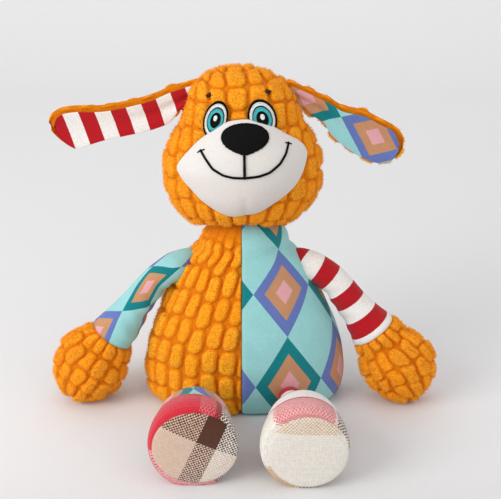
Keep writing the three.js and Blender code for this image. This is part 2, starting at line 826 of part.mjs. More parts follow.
// Head: a front and a back cover over one stuffed form, hollowed for the neck
const headHollow = ball(neckCentre, neckRadius + jointGap, 2 * coreSides);
const chinPlace = neckCentre.clone().addScaledVector(up, headRimRise + chinRise);
const chinCut = sideOf(chinPlace, chinUp);
const headSolid = solidOf(headForm(0)).subtract(headHollow).intersect(chinCut);
const earAxis = {};
const earHinge = {};
const earHingeHeight = headRim + earHingeRiseShare * headHeight;
const earSlope = THREE.MathUtils.degToRad(earSeamSlopeDeg);
const headSurfaceX = headHalfWidth * headRowAt(earHingeHeight)[1];
const earRootRadius = earBackHalfThickness + earLiningHalfThickness + clothGap / 2;
let earGrooves = null;
for (const side of sideNames) {
  const sign = sideSign[side];
  earAxis[side] = new THREE.Vector3(-sign * Math.cos(earSlope), 0, Math.sin(earSlope));
  const x = headCentreX + sign * (headSurfaceX + earHingeOut);
  earHinge[side] = new THREE.Vector3(x, headSeamY, earHingeHeight);
  const half = earAxis[side].clone().multiplyScalar(earRootHalfLength + jointGap);
  const grooveRadius = earRootRadius + jointGap;
  const groove = rod(earHinge[side].clone().sub(half), earHinge[side].clone().add(half), grooveRadius);
  earGrooves = earGrooves ? earGrooves.add(groove) : groove;
}
const headShell = headSolid.subtract(solidOf(headForm(clothWall))).subtract(earGrooves);
const headFrontCut = sideOf(new THREE.Vector3(0, headSeamY - seamGap / 2, 0), back.clone().negate());
const headBackCut = sideOf(new THREE.Vector3(0, headSeamY + seamGap / 2, 0), back);
addPart('head_front_cover', geometryOf(headShell.intersect(headFrontCut)), orange);
addPart('head_back_cover', geometryOf(headShell.intersect(headBackCut)), orange);
const headStuffing = solidOf(headForm(stuffingInset))
  .intersect(sideOf(chinPlace.clone().addScaledVector(chinUp, stuffingInset), chinUp))
  .intersect(sideOf(new THREE.Vector3(0, 0, headRim + stuffingInset), up))
  .subtract(headHollow)
  .subtract(earGrooves);
addPart('head_stuffing', geometryOf(headStuffing), stuffingWhite);

// Muzzle: a wad of stuffing under a white panel
const muzzleCentre = new THREE.Vector2(muzzleCentreX, muzzleCentreZ);
addPart('muzzle_panel', patch({
  centre: muzzleCentre,
  outline: muzzleOutline,
  sides: muzzleSides,
  ringShares: muzzleRingShares,
  surface: faceY,
  outer: (x, z) => muzzleEdge + muzzleSwell(x, z),
  inner: (x, z) => patchGap + muzzleSwell(x, z),
}), muzzleWhite);
addPart('muzzle_stuffing', patch({
  centre: muzzleCentre,
  outline: muzzleOutline,
  sides: muzzleSides,
  ringShares: muzzleRingShares.map((share) => share * muzzleStuffingShare),
  surface: faceY,
  outer: (x, z) => muzzleSwell(x, z) - paddingGap,
  inner: () => patchGap,
}), stuffingWhite);
addPart('nose_pad', patch({
  centre: new THREE.Vector2(muzzleCentreX + noseShift, muzzleCentreZ + noseRise),
  outline: ovalOutline(noseHalfWidth, noseHalfHeight, 0, eyeSides),
  sides: eyeSides,
  ringShares: noseRingShares,
  surface: muzzleY,
  outer: (x, z, share) => patchGap + nosePad * (1 - noseEdgeShare * share ** 3),
  inner: () => patchGap,
}), threadBlack, threadRoughness);

function threadOnMuzzle(name, shares) {
  const points = shares.map(([across, rise]) => {
    const x = muzzleCentreX + across * muzzleHalfWidth;
    const z = muzzleCentreZ + rise * muzzleHalfHeight;
    return new THREE.Vector3(x, muzzleY(x, z) - threadRadius - patchGap, z);
  });
  addPart(name, threadAlong(points, threadRadius), threadBlack, threadRoughness);
}
threadOnMuzzle('mouth_thread', smileShares);
threadOnMuzzle('philtrum_thread', philtrumShares);

// Eyes, cut off along the muzzle's top edge
const muzzleReach = 1 + muzzleCutGap / muzzleHalfHeight;
const muzzleBlock = patch({
  centre: muzzleCentre,
  outline: muzzleOutline.map((point) => point.clone().multiplyScalar(muzzleReach)),
  sides: muzzleSides,
  ringShares: [1],
  surface: () => 0,
  outer: () => headFront + cutOverrun,
  inner: () => 0,
});
const eyeLayers = [
  ['eye_outline', 1, threadBlack],
  ['eye_white', eyeWhiteShare, eyeWhiteColour],
  ['eye_iris', irisShare, irisTurquoise],
  ['eye_pupil', pupilShare, threadBlack],
  ['eye_glint', glintShare, eyeWhiteColour],
];
const eyePlaces = {
  right: [rightEyeOut, rightEyeRiseShare, rightEyeTurnDeg],
  left: [leftEyeOut, leftEyeRiseShare, leftEyeTurnDeg],
};

function facePlace(side, out, riseShare) {
  return new THREE.Vector2(
    headCentreX + sideSign[side] * out,
    muzzleCentreZ + riseShare * headHeight,
  );
}

for (const side of sideNames) {
  const [out, riseShare, turnDeg] = eyePlaces[side];
  const eyeCentre = facePlace(side, out, riseShare);
  eyeLayers.forEach(([name, share, colour], i) => {
    const low = patchGap + i * (eyeLayer + clothGap);
    const eye = patch({
      centre: eyeCentre,
      outline: ovalOutline(eyeHalfWidth * share, eyeHalfHeight * share, turnDeg, eyeSides),
      sides: eyeSides,
      ringShares: share > pupilShare ? eyeRingShares : [1],
      surface: faceY,
      outer: () => low + eyeLayer,
      inner: () => low,
    });
    const trimmed = solidOf(eye).subtract(solidOf(muzzleBlock));
    addPart(`${side}_${name}`, geometryOf(trimmed), colour, threadRoughness);
  });
}
const browPlaces = {
  right: [rightBrowOut, rightBrowRiseShare],
  left: [leftBrowOut, leftBrowRiseShare],
};
for (const side of sideNames) {
  const [out, riseShare] = browPlaces[side];
  addPart(`${side}_brow_tack`, patch({
    centre: facePlace(side, out, riseShare),
    outline: ovalOutline(browHalfLength, browHalfWidth, -sideSign[side] * browTurnDeg, eyeSides),
    sides: eyeSides,
    ringShares: [1],
    surface: faceY,
    outer: () => patchGap + eyeLayer,
    inner: () => patchGap,
  }), browMaroon, threadRoughness);
}

// Ears: rings across the ear between its upper and lower edge, from the root to the tip
function earPart({ side, shares, reach, drop, y, halfThickness, margin, rootRound }) {
  const sign = sideSign[side];
  const hinge = earHinge[side];
  const top = hinge.clone().addScaledVector(earAxis[side], earRootHalfLength);
  const bottom = hinge.clone().addScaledVector(earAxis[side], -earRootHalfLength);
  const edges = shares.map(([outA, downA, outB, downB], i) => {
    if (i === 0) return [top.clone(), bottom.clone()];
    return [
      new THREE.Vector3(top.x + sign * reach * outA, 0, top.z - drop * downA),
      new THREE.Vector3(top.x + sign * reach * outB, 0, top.z - drop * downB),
    ];
  });
  const rings = edges.map(([a, b], i) => {
    const centre = a.clone().add(b).multiplyScalar(0.5);
    centre.y = hinge.y + y;
    const across = a.clone().sub(b);
    across.y = 0;
    const half = Math.max(across.length() / 2 - margin, halfThickness);
    const thin = i === edges.length - 1 ? halfThickness / 2 : halfThickness;
    const sizes = { left: half, right: half, front: thin, back: thin };
    return ringAt(centre, across.normalize(), back, sizes, earSides);
  });
  const outward = new THREE.Vector3(sign * Math.sin(earSlope), 0, Math.cos(earSlope));
  const start = new THREE.Vector3(hinge.x, hinge.y + y, hinge.z).addScaledVector(outward, -rootRound);
  const [endA, endB] = edges.at(-1);
  const end = endA.clone().add(endB).multiplyScalar(0.5);
  end.x += sign * (halfThickness - margin);
  end.y = hinge.y + y;
  return loft(rings, start, end);
}
const earSettings = {
  left: { shares: leftEarShares, reach: leftEarReach, drop: leftEarDrop },
  right: { shares: rightEarShares, reach: rightEarReach, drop: rightEarDrop },
};
for (const side of sideNames) {
  const lining = side === 'left' ? printAqua : stripeRed;
  addPart(`${side}_ear_back`, earPart({
    side,
    ...earSettings[side],
    y: earLiningHalfThickness + clothGap / 2,
    halfThickness: earBackHalfThickness,
    margin: 0,
    rootRound: earRootRadius - clothGap / 2,
  }), orange);
  addPart(`${side}_ear_lining`, earPart({
    side,
    ...earSettings[side],
    y: -earBackHalfThickness - clothGap / 2,
    halfThickness: earLiningHalfThickness,
    margin: earLiningMargin,
    rootRound: 0,
  }), lining);
}

// Arms: a sleeve, a plush paw and the stuffing, cut by the torso where they lie on it
const armSwingCutDeg = [-35, 0, 50];
for (const side of sideNames) {
  const root = shoulderCentre[side];
  const { stations, tip, along } = armStations(side);
  const arm = { root, rootRadius: armRootRadius, stations, tip };
  const outer = solidOf(limbForm({ ...arm, inset: 0 }));
  const inner = solidOf(limbForm({ ...arm, inset: clothWall }));
  const filling = solidOf(limbForm({ ...arm, inset: stuffingInset }));
  let torsoSweep = null;
  for (const degrees of armSwingCutDeg) {
    const sweep = new THREE.Matrix4().makeTranslation(root.x, root.y, root.z)
      .multiply(new THREE.Matrix4().makeRotationX(THREE.MathUtils.degToRad(degrees)))
      .multiply(new THREE.Matrix4().makeTranslation(-root.x, -root.y, -root.z));
    const turned = solidOf(torsoForm(-armLieGap).applyMatrix4(sweep));
    torsoSweep = torsoSweep ? torsoSweep.add(turned) : turned;
  }
  torsoSweep = torsoSweep.subtract(ball(root, armRootRadius + jointGap / 2));
  const wrist = root.clone().addScaledVector(along, wristShare);
  const halfSeam = along.clone().setLength(seamGap / 2);
  const pawSide = sideOf(wrist.clone().add(halfSeam), along);
  const sleeveSide = sideOf(wrist.clone().sub(halfSeam), along.clone().negate());
  const shell = outer.subtract(inner).subtract(torsoSweep);
  const sleeve = shell.intersect(sleeveSide);
  addPart(`${side}_sleeve`, geometryOf(sleeve), side === 'left' ? stripeRed : printAqua);
  addPart(`${side}_paw_cover`, geometryOf(shell.intersect(pawSide).subtract(floorCut)), orange);
  addPart(`${side}_arm_stuffing`, geometryOf(filling.subtract(torsoSweep)), stuffingWhite);
  const coreStart = new THREE.Vector3(sideSign[side] * shoulderCoreInnerX, shoulderY, shoulderZ);
  const shoulderCup = ball(root, armRootRadius + 1.5 * jointGap);
  const core = rod(coreStart, root, shoulderCoreRadius).subtract(shoulderCup);
  addPart(`${side}_shoulder_stuffing`, geometryOf(core), stuffingWhite);
}

// Legs: a cloth tube, then a foot with an upper and a sole, over one run of stuffing
for (const side of sideNames) {
  const root = hipCentre[side];
  const { stations, tip } = legStations(side);
  const leg = { root, rootRadius: legRootRadius, stations, tip };
  const outer = solidOf(limbForm({ ...leg, inset: 0 }));
  const inner = solidOf(limbForm({ ...leg, inset: clothWall }));
  const filling = solidOf(limbForm({ ...leg, inset: stuffingInset }));
  const shell = outer.subtract(inner).subtract(floorCut);
  const ankleY = hipY - legReach * ankleShare;
  const soleY = hipY - legReach * soleShare;
  const behind = (y) => sideOf(new THREE.Vector3(0, y, 0), back);
  const before = (y) => sideOf(new THREE.Vector3(0, y, 0), back.clone().negate());
  const half = seamGap / 2;
  const tube = shell.intersect(behind(ankleY + half));
  const upper = shell.intersect(before(ankleY - half)).intersect(behind(soleY + half));
  addPart(`${side}_leg_tube`, geometryOf(tube), side === 'left' ? stripeRed : printAqua);
  addPart(`${side}_foot_upper`, geometryOf(upper), checkBrown);
  addPart(`${side}_foot_sole`, geometryOf(shell.intersect(before(soleY - half))), soleCream);
  addPart(`${side}_leg_stuffing`, geometryOf(filling), stuffingWhite);
  const cup = ball(root, legRootRadius + hipCupWall + jointGap)
    .subtract(ball(root, legRootRadius + 2 * jointGap))
    .intersect(behind(root.y + hipCupFront));
  addPart(`${side}_hip_stuffing`, geometryOf(cup), stuffingWhite);
}

export default toy;
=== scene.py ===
"""Dresses the seated stuffed dog in plush, printed, striped and checked cloth, over its frame."""

import logging
import math
from collections.abc import Callable, Sequence
from dataclasses import dataclass
from enum import Enum

import bmesh
import bpy
import numpy as np
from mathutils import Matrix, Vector
from mathutils.kdtree import KDTree


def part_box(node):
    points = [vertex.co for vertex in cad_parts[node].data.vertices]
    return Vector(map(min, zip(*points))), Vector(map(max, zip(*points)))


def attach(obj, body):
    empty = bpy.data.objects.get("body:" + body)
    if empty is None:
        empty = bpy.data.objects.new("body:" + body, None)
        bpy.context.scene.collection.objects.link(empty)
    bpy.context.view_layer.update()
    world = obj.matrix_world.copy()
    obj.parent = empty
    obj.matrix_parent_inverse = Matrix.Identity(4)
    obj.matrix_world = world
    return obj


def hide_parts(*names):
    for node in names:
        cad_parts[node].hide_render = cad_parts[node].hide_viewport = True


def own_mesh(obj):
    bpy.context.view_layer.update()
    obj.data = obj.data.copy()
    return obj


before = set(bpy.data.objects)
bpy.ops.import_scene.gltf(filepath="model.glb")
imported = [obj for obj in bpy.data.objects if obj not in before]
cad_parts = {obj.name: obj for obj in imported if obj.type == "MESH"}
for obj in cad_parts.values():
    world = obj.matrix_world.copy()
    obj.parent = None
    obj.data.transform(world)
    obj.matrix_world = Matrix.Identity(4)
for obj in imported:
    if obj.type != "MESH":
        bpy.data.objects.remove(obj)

LOG = logging.getLogger("stuffed_dog")
MM = 0.001
TAU = 2 * math.pi
SHEEN_ROUGHNESS = 0.5
FIBRE_FLOOR_MM = 3.2
PAW_COLUMN_MM = 10.8
EAR_COLUMN_MM = 11.5
PRINT_MM = (38.0, 60.0)
SWINGS_DEG = (-35, 0, 50)
FOOT_ROUND_MM = 165.0
Rows = Sequence[Sequence[float]]
Colour = tuple[float, float, float]
Array = np.ndarray
Socket = bpy.types.NodeSocket
Piece = bpy.types.Object


class Side(Enum):
    """The dog's own left and right, with the sign of X on that side."""

    LEFT = 1
    RIGHT = -1

    @property
    def word(self) -> str:
        """The side's name as the frame spells it."""
        return self.name.lower()


class Cloth(Enum):
    """The cloths and threads of the toy, named as the record's material slots."""

    CORN = "corn_plush"
    PRINT = "diamond_print"
    STRIPE = "stripe_cloth"
    CHECK = "check_cloth"
    WHITE = "white_plush"
    FILL = "stuffing"
    BLACK_THREAD = "black_thread"
    WHITE_THREAD = "white_thread"
    TURQUOISE_THREAD = "turquoise_thread"
    MAROON_THREAD = "maroon_thread"
    ORANGE_THREAD = "orange_thread"


# Node trees


class Board:
    """Nodes of one shader or geometry tree, joined as they are placed."""

    def __init__(self, tree: bpy.types.NodeTree) -> None:
        """Takes the tree that the nodes are placed in."""
        self.tree = tree

    def feed(self, socket: Socket, value: object) -> None:
        """Joins a socket to another one, or sets its value."""
        if isinstance(value, Socket):
            self.tree.links.new(value, socket)
        elif value is not None:
            socket.default_value = value

    def add(self, kind: str, *values: object, **settings: object) -> bpy.types.Node:
        """Places a node.

        Args:
            kind: Blender's name of the node type.
            values: what its first inputs get, in order; None leaves one alone.
            settings: the node's own properties.

        Returns:
            The node.
        """
        node = self.tree.nodes.new(kind)
        for name, value in settings.items():
            setattr(node, name, value)
        for socket, value in zip(node.inputs, values):
            self.feed(socket, value)
        return node

    def math(self, operation: str, *values: object) -> Socket:
        """The result of a Math node."""
        return self.add("ShaderNodeMath", *values, operation=operation).outputs[0]

    def vector(self, operation: str, *values: object) -> Socket:
        """The first result of a Vector Math node."""
        return self.add("ShaderNodeVectorMath", *values, operation=operation).outputs[0]

    def split(self, socket: Socket) -> list[Socket]:
        """The x, y and z of a vector."""
        return list(self.add("ShaderNodeSeparateXYZ", socket).outputs)

    def stretch(self, value: object, low: float, high: float, to: tuple = (0.0, 1.0)) -> object:
        """A value eased from one range to another and held at its ends."""
        node = self.add("ShaderNodeMapRange", value, low, high, to[0], to[1])
        node.interpolation_type = "SMOOTHSTEP"
        return node.outputs[0]

    def blend(self, share: object, low: object, high: object, way: str = "MIX") -> Socket:
        """A colour between two others, or their product."""
        node = self.add("ShaderNodeMix", data_type="RGBA", blend_type=way)
        for place, value in ((0, share), (6, low), (7, high)):
            colour = (*value, 1.0) if isinstance(value, tuple) and len(value) == 3 else value
            self.feed(node.inputs[place], colour)
        return node.outputs[2]


def linear(code: str) -> Colour:
    """The linear colour of a six-digit screen colour."""
    parts = (int(code[i : i + 2], 16) / 255 for i in (0, 2, 4))
    return tuple(p / 12.92 if p <= 0.04045 else ((p + 0.055) / 1.055) ** 2.4 for p in parts)


# Finishes


@dataclass(frozen=True)
class Finish:
    """What every finish shares: its name, roughness and sheen."""

    name: str = "cloth"
    roughness: float = 0.92
    sheen: float = 0.3
    sheen_tint: Colour = (1.0, 1.0, 1.0)
    grain_mm: float = 0.5
    grain_depth_mm: float = 0.25
    gloss: float = 0.2

    def colour(self, board: Board) -> object:
        """The colour of the surface, as a socket or a fixed colour."""
        raise NotImplementedError

    def noise(self, board: Board, size_mm: float, detail: float = 2.0) -> object:
        """Soft noise of a grain size, in the piece's own place."""
        place = board.add("ShaderNodeTexCoord").outputs["Object"]
        node = board.add("ShaderNodeTexNoise", place, None, 1 / (size_mm * MM), detail)
        return node.outputs[0]

    def relief(self, board: Board) -> object:
        """Height of the fine surface, from 0 to 1."""
        return self.noise(board, self.grain_mm)

    def make(self) -> bpy.types.Material:
        """The material.

        Returns:
            A new material with its colour, grain and sheen.
        """
        material = bpy.data.materials.new(self.name)
        material.use_nodes = True
        board = Board(material.node_tree)
        skin = material.node_tree.nodes["Principled BSDF"]
        constants = {
            "Roughness": self.roughness,
            "Sheen Weight": self.sheen,
            "Sheen Roughness": SHEEN_ROUGHNESS,
            "Sheen Tint": (*self.sheen_tint, 1.0),
            "Specular IOR Level": self.gloss,
        }
        for label, value in constants.items():
            skin.inputs[label].default_value = value
        board.feed(skin.inputs["Base Color"], self.colour(board))
        bump = board.add("ShaderNodeBump")
        bump.inputs["Strength"].default_value = 1.0
        bump.inputs["Distance"].default_value = self.grain_depth_mm * MM
        board.feed(bump.inputs["Height"], self.relief(board))
        board.feed(skin.inputs["Normal"], bump.outputs[0])
        return material

    def shaded(self, board: Board, colour: object, size_mm: float, low: float) -> object:
        """A colour with patches darkened by soft noise."""
        share = board.stretch(self.noise(board, size_mm), 0.35, 0.65, (low, 1.0))
        return board.blend(1.0, colour, share, "MULTIPLY")


@dataclass(frozen=True)
class Plush(Finish):
    """Dense pile, with painted shade darkening it down in the grooves between the blocks and a
    painted highlight lightening it on their crowns.
    """

    # Painted light by the pile's height: the groove colour is painted shade, the crown colour a
    # painted highlight, the side colour lies between them.
    shaded_groove: Colour = linear("DB7706")
    side: Colour = linear("FF9A14")
    crown: Colour = linear("FFB126")
    fleck: Colour = linear("DE860E")

    def colour(self, board: Board) -> object:
        """Pile colour by the height on its block, from painted shade in the grooves to a painted
        highlight on the crowns, mottled by the lie of the pile.
        """
        pile = board.add("ShaderNodeAttribute", attribute_name="pile").outputs["Fac"]
        # Painted shade low in the grooves, painted highlight high on the crowns.
        low = board.blend(board.stretch(pile, 0.05, 0.6), self.shaded_groove, self.side)
        full = board.blend(board.stretch(pile, 0.55, 1.0), low, self.crown)
        patchy = self.shaded(board, full, 3.0, 0.93)
        flecks = board.stretch(self.noise(board, 0.95), 0.36, 0.52)
        return board.blend(flecks, (*self.fleck, 1.0), patchy)


@dataclass(frozen=True)
class Plain(Finish):
    """Cloth, thread or plastic of one tone."""

    tone: Colour = linear("F3F0EC")
    mottle: float = 0.96
    mottle_mm: float = 1.2

    def colour(self, board: Board) -> object:
        """One tone with faint mottling."""
        return self.shaded(board, (*self.tone, 1.0), self.mottle_mm, self.mottle)


@dataclass(frozen=True)
class Paper(Finish):
    """The pale sweep, with painted shade darkening it in front and painted light brightening it up
    its back.
    """

    # Painted shade and light: near darkens the front of the floor, under and far lie between, high
    # brightens the top of the backdrop.
    near: Colour = (0.43, 0.39, 0.35)
    under: Colour = (0.79, 0.79, 0.8)
    far: Colour = (0.89, 0.89, 0.9)
    high: Colour = (0.99, 0.99, 0.99)

    def colour(self, board: Board) -> object:
        """Pale grey, with painted shade darker in front and painted light paler by the distance
        back and up.
        """
        place = board.split(board.add("ShaderNodeTexCoord").outputs["Object"])
        reach = board.math("ADD", place[1], place[2])
        # Painted shade towards the front, painted light up the backdrop.
        low = board.blend(board.stretch(reach, -0.42, -0.05), self.near, self.under)
        middle = board.blend(board.stretch(reach, -0.1, 1.2), low, self.far)
        return board.blend(board.stretch(reach, 1.2, 2.6), middle, self.high)


def cloth_place(board: Board) -> list[object]:
    """Place on the cloth in millimetres: across it and along it."""
    return board.split(board.add("ShaderNodeUVMap", uv_map="cloth").outputs[0])


@dataclass(frozen=True)
class Diamonds(Finish):
    """Printed diamonds that touch at their corners, in two alternating borders."""

    ground: Colour = linear("98D3D4")
    borders: tuple[Colour, Colour] = (linear("6478B8"), linear("067F86"))
    ring: Colour = linear("C48F68")
    heart: Colour = linear("DFA5AB")
    width_mm: float = PRINT_MM[0]
    height_mm: float = PRINT_MM[1]
    border_share: float = 0.65
    heart_share: float = 0.29

    def colour(self, board: Board) -> object:
        """Ground, border, ring and heart by the place in the diamond lattice."""
        across, along, _ = cloth_place(board)
        p = board.math("DIVIDE", across, self.width_mm)
        q = board.math("DIVIDE", along, self.height_mm)
        rises = board.math("ADD", p, q)
        falls = board.math("SUBTRACT", p, q)
        cells = [board.math("ROUND", value) for value in (rises, falls)]
        offsets = [
            board.math("ABSOLUTE", board.math("SUBTRACT", value, cell))
            for value, cell in zip((rises, falls), cells)
        ]
        reach = board.math("MULTIPLY", board.math("MAXIMUM", *offsets), 2.0)
        both = board.math("ADD", *cells)
        plain = board.math("ABSOLUTE", board.math("PINGPONG", both, 1.0))
        swap = board.math("PINGPONG", cells[0], 1.0)
        border = board.blend(swap, *self.borders)
        fuzz = board.math("MULTIPLY", board.math("SUBTRACT", self.noise(board, 0.7), 0.5), 0.04)
        edge = board.math("ADD", reach, fuzz)
        inner = board.blend(self.step(board, edge, self.heart_share), self.heart, self.ring)
        figure = board.blend(self.step(board, edge, self.border_share), inner, border)
        full = board.blend(plain, figure, (*self.ground, 1.0))
        return self.shaded(board, self.shaded(board, full, 1.0, 0.93), 12.0, 0.95)

    def step(self, board: Board, value: object, place: float) -> object:
        """0 below a place and 1 above it, over a thread's width."""
        return board.stretch(value, place - 0.008, place + 0.008)


@dataclass(frozen=True)
class Stripes(Finish):
    """Knitted stripes across the cloth's length."""

    red: Colour = linear("B3121D")
    white: Colour = linear("EBE7E3")
    repeat_mm: float = 22.0
    red_share: float = 0.5
    slant: float = 0.0

    def colour(self, board: Board) -> object:
        """Red or white by the place along the cloth."""
        across, along, _ = cloth_place(board)
        lean = board.math("MULTIPLY_ADD", across, self.slant, along)
        fuzz = board.math("MULTIPLY", board.math("SUBTRACT", self.noise(board, 0.8), 0.5), 0.5)
        place = board.math("ADD", lean, fuzz)
        turn = board.math("FRACT", board.math("DIVIDE", place, self.repeat_mm))
        soft = 0.25 / self.repeat_mm
        start = board.stretch(turn, 0.0, soft)
        stop = board.stretch(turn, self.red_share, self.red_share + soft, (1.0, 0.0))
        is_red = board.math("MULTIPLY", start, stop)
        full = board.blend(is_red, (*self.white, 1.0), (*self.red, 1.0))
        return self.shaded(board, full, 1.2, 0.9)


@dataclass(frozen=True)
class Check(Finish):
    """Coarse woven check: warp bands across, weft bands along, thread by thread."""

    warps: tuple[tuple[float, Colour], ...] = ()
    wefts: tuple[tuple[float, Colour], ...] = ()
    thread_mm: float = 1.05
    turn_deg: float = 0.0

    def bands(self, board: Board, place: object, bands: tuple) -> object:
        """The colour of the threads at a place, from bands that each start at a place."""
        colour = (*bands[0][1], 1.0)
        for start, tone in bands[1:]:
            colour = board.blend(board.math("GREATER_THAN", place, start), colour, (*tone, 1.0))
        return colour

    def turned(self, board: Board) -> list[object]:
        """Place on the cloth, along its own threads."""
        across, along, _ = cloth_place(board)
        turn = math.radians(self.turn_deg)
        u = board.math("MULTIPLY_ADD", across, math.cos(turn), None)
        v = board.math("MULTIPLY_ADD", along, math.cos(turn), None)
        board.feed(u.node.inputs[2], board.math("MULTIPLY", along, math.sin(turn)))
        board.feed(v.node.inputs[2], board.math("MULTIPLY", across, -math.sin(turn)))
        return [u, v]

    def over(self, board: Board, u: object, v: object) -> object:
        """1 where the weft lies on top, in a weave of two over two."""
        stray = board.math("MULTIPLY_ADD", self.noise(board, 1.6), 1.6, -0.8)
        places = [board.math("ADD", place, stray) for place in (u, v)]
        steps = [board.math("FLOOR", board.math("DIVIDE", x, self.thread_mm)) for x in places]
        return board.math("PINGPONG", board.math("ADD", *steps), 1.0)

    def colour(self, board: Board) -> object:
        """Warp or weft colour, whichever thread is on top, with painted shade darkening the gaps
        between the threads.
        """
        u, v = self.turned(board)
        warp = self.bands(board, u, self.warps)
        weft = self.bands(board, v, self.wefts)
        woven = board.blend(self.over(board, u, v), warp, weft)
        # Painted shade: darker where the round thread tops dip down between the threads.
        gap = board.stretch(self.relief(board), 0.0, 0.45, (0.8, 1.0))
        return self.shaded(board, board.blend(1.0, woven, gap, "MULTIPLY"), 2.0, 0.92)

    def relief(self, board: Board) -> object:
        """Round tops of the threads."""
        heights = []
        for place in self.turned(board):
            turn = board.math("DIVIDE", place, self.thread_mm / math.pi)
            heights.append(board.math("ABSOLUTE", board.math("SINE", turn)))
        return board.math("MULTIPLY", *heights)


@dataclass(frozen=True)
class RimCheck(Check):
    """The check as it runs round a foot, where both threads change from band to band."""

    def colour(self, board: Board) -> object:
        """Warp or weft colour of the band at a place round the foot."""
        u, v = self.turned(board)
        warp = self.bands(board, u, self.warps)
        weft = self.bands(board, u, self.wefts)
        woven = board.blend(self.over(board, u, v), warp, weft)
        return self.shaded(board, woven, 1.5, 0.88)


# Forms


def link(name: str, data: object) -> Piece:
    """Puts a new object into the scene."""
    made = bpy.data.objects.new(name, data)
    bpy.context.scene.collection.objects.link(made)
    return made


def carry(mesh: bpy.types.Mesh, name: str, values: Array) -> None:
    """Stores a number or a vector for each point of a mesh."""
    kind, field = ("FLOAT", "value") if values.ndim == 1 else ("FLOAT_VECTOR", "vector")
    layer = mesh.attributes.new(name, kind, "POINT")
    layer.data.foreach_set(field, values.astype(np.float32).ravel())


def corners_of(mesh: bpy.types.Mesh) -> Array:
    """A mesh's places in metres."""
    flat = np.zeros(len(mesh.vertices) * 3)
    mesh.vertices.foreach_get("co", flat)
    return flat.reshape(-1, 3)


def flatten_on_floor(piece: Piece) -> None:
    """Presses whatever is below the floor flat onto it."""
    places = corners_of(piece.data)
    places[:, 2] = np.maximum(places[:, 2], 0.0)
    piece.data.vertices.foreach_set("co", places.ravel())
    piece.data.update()


def share_of(values: object) -> Array:
    """Values held between 0 and 1."""
    return np.clip(values, 0, 1)


def domed(share: object) -> Array:
    """A round shoulder: steep at 0 and level at 1."""
    return (share * (2 - share)) ** 0.5


def firmest(*holds: Array) -> Array:
    """The strongest of several holds, between 0 and 1."""
    return share_of(np.maximum.reduce(holds))


def spot(centre: Sequence[float], reach: object, angle: Array) -> tuple:
    """Places across and up at a distance from a centre, by direction."""
    return centre[0] + reach * np.cos(angle), centre[1] + reach * np.sin(angle)


def walk(line: Array, axis: int = 0) -> Array:
    """The distance walked along a line of points, or along each row of a grid."""
    lengths = np.linalg.norm(np.diff(line, axis=axis), axis=-1)
    total = np.cumsum(lengths, axis=axis)
    return np.concatenate([np.zeros_like(total.take([0], axis=axis)), total], axis=axis)


def eased(table: Rows, places: Array) -> Array:
    """Smooth values between the stations of a table.

    Args:
        table: rows of a place followed by values.
        places: where the values are wanted.

    Returns:
        One row of values for each place, with no overshoot between stations.
    """
    rows = np.array(table, float)
    x, y = rows[:, 0], rows[:, 1:]
    slope = np.diff(y, axis=0) / np.diff(x)[:, None]
    product, total = slope[1:] * slope[:-1], slope[1:] + slope[:-1]
    safe = np.where(np.abs(total) > 1e-12, total, 1.0)
    tangent = np.vstack([slope[:1], np.where(product > 0, 2 * product / safe, 0.0), slope[-1:]])
    i = np.clip(np.searchsorted(x, places) - 1, 0, len(x) - 2)
    h = (x[i + 1] - x[i])[:, None]
    t = share_of((places - x[i])[:, None] / h)
    return (
        (2 * t**3 - 3 * t**2 + 1) * y[i]
        + (t**3 - 2 * t**2 + t) * h * tangent[i]
        + (3 * t**2 - 2 * t**3) * y[i + 1]
        + (t**3 - t**2) * h * tangent[i + 1]
    )


def even_places(line: Array, count: int) -> tuple[Array, float]:
    """Even places along a line of points, as fractional indices, and the line's length."""
    arc = walk(line)
    return np.interp(np.linspace(0, arc[-1], count), arc, np.arange(len(line))), arc[-1]


def at_index(values: Array, index: Array) -> Array:
    """Values between the rows of an array, at fractional indices."""
    low = np.clip(np.floor(index).astype(int), 0, len(values) - 2)
    share = (index - low).reshape(-1, *([1] * (values.ndim - 1)))
    return values[low] * (1 - share) + values[low + 1] * share


@dataclass(frozen=True)
class RingRow:
    """One level ring: its centre, its reach each way, and how square it is."""

    centre: tuple[float, float, float]
    left: float
    right: float
    front: float
    back: float
    exponent: float

    def outline(self, start_deg: float, count: int = 1080) -> Array:
        """Points once round the ring, from an angle; the last lies on the first."""
        angle = math.radians(start_deg) + np.linspace(0, TAU, count)
        bent = [
            np.sign(f(angle)) * np.abs(f(angle)) ** (2 / self.exponent) for f in (np.cos, np.sin)
        ]
        x = bent[0] * np.where(bent[0] < 0, self.left, self.right)
        y = bent[1] * np.where(bent[1] < 0, self.front, self.back)
        return np.column_stack([x, y, np.zeros_like(x)]) + np.array(self.centre)

    def half(self, axis: int, cut: float, sign: int, count: int) -> tuple[Array, float]:
        """Even points along the part of the ring on one side of a plane.

        Args:
            axis: 0 for a plane across X, 1 for one across Y.
            cut: where the plane lies.
            sign: which side of it is kept.
            count: how many points.

        Returns:
            The points, and the length of the line.
        """
        middle = {(0, 1): 0.0, (0, -1): 180.0, (1, 1): 90.0, (1, -1): 270.0}[(axis, sign)]
        ring = self.outline(middle - 180)
        kept = (ring[:, axis] - cut) * sign >= 0
        first = int(np.argmax(kept))
        last = len(kept) - 1 - int(np.argmax(kept[::-1]))
        line = ring[first - 1 : last + 2].copy()
        for end, inside in ((0, 1), (-1, -2)):
            span = line[end, axis] - line[inside, axis]
            share = (cut - line[inside, axis]) / span if abs(span) > 1e-9 else 1.0
            line[end] = line[inside] + (line[end] - line[inside]) * share
        index, length = even_places(line, count)
        return at_index(line, index), length


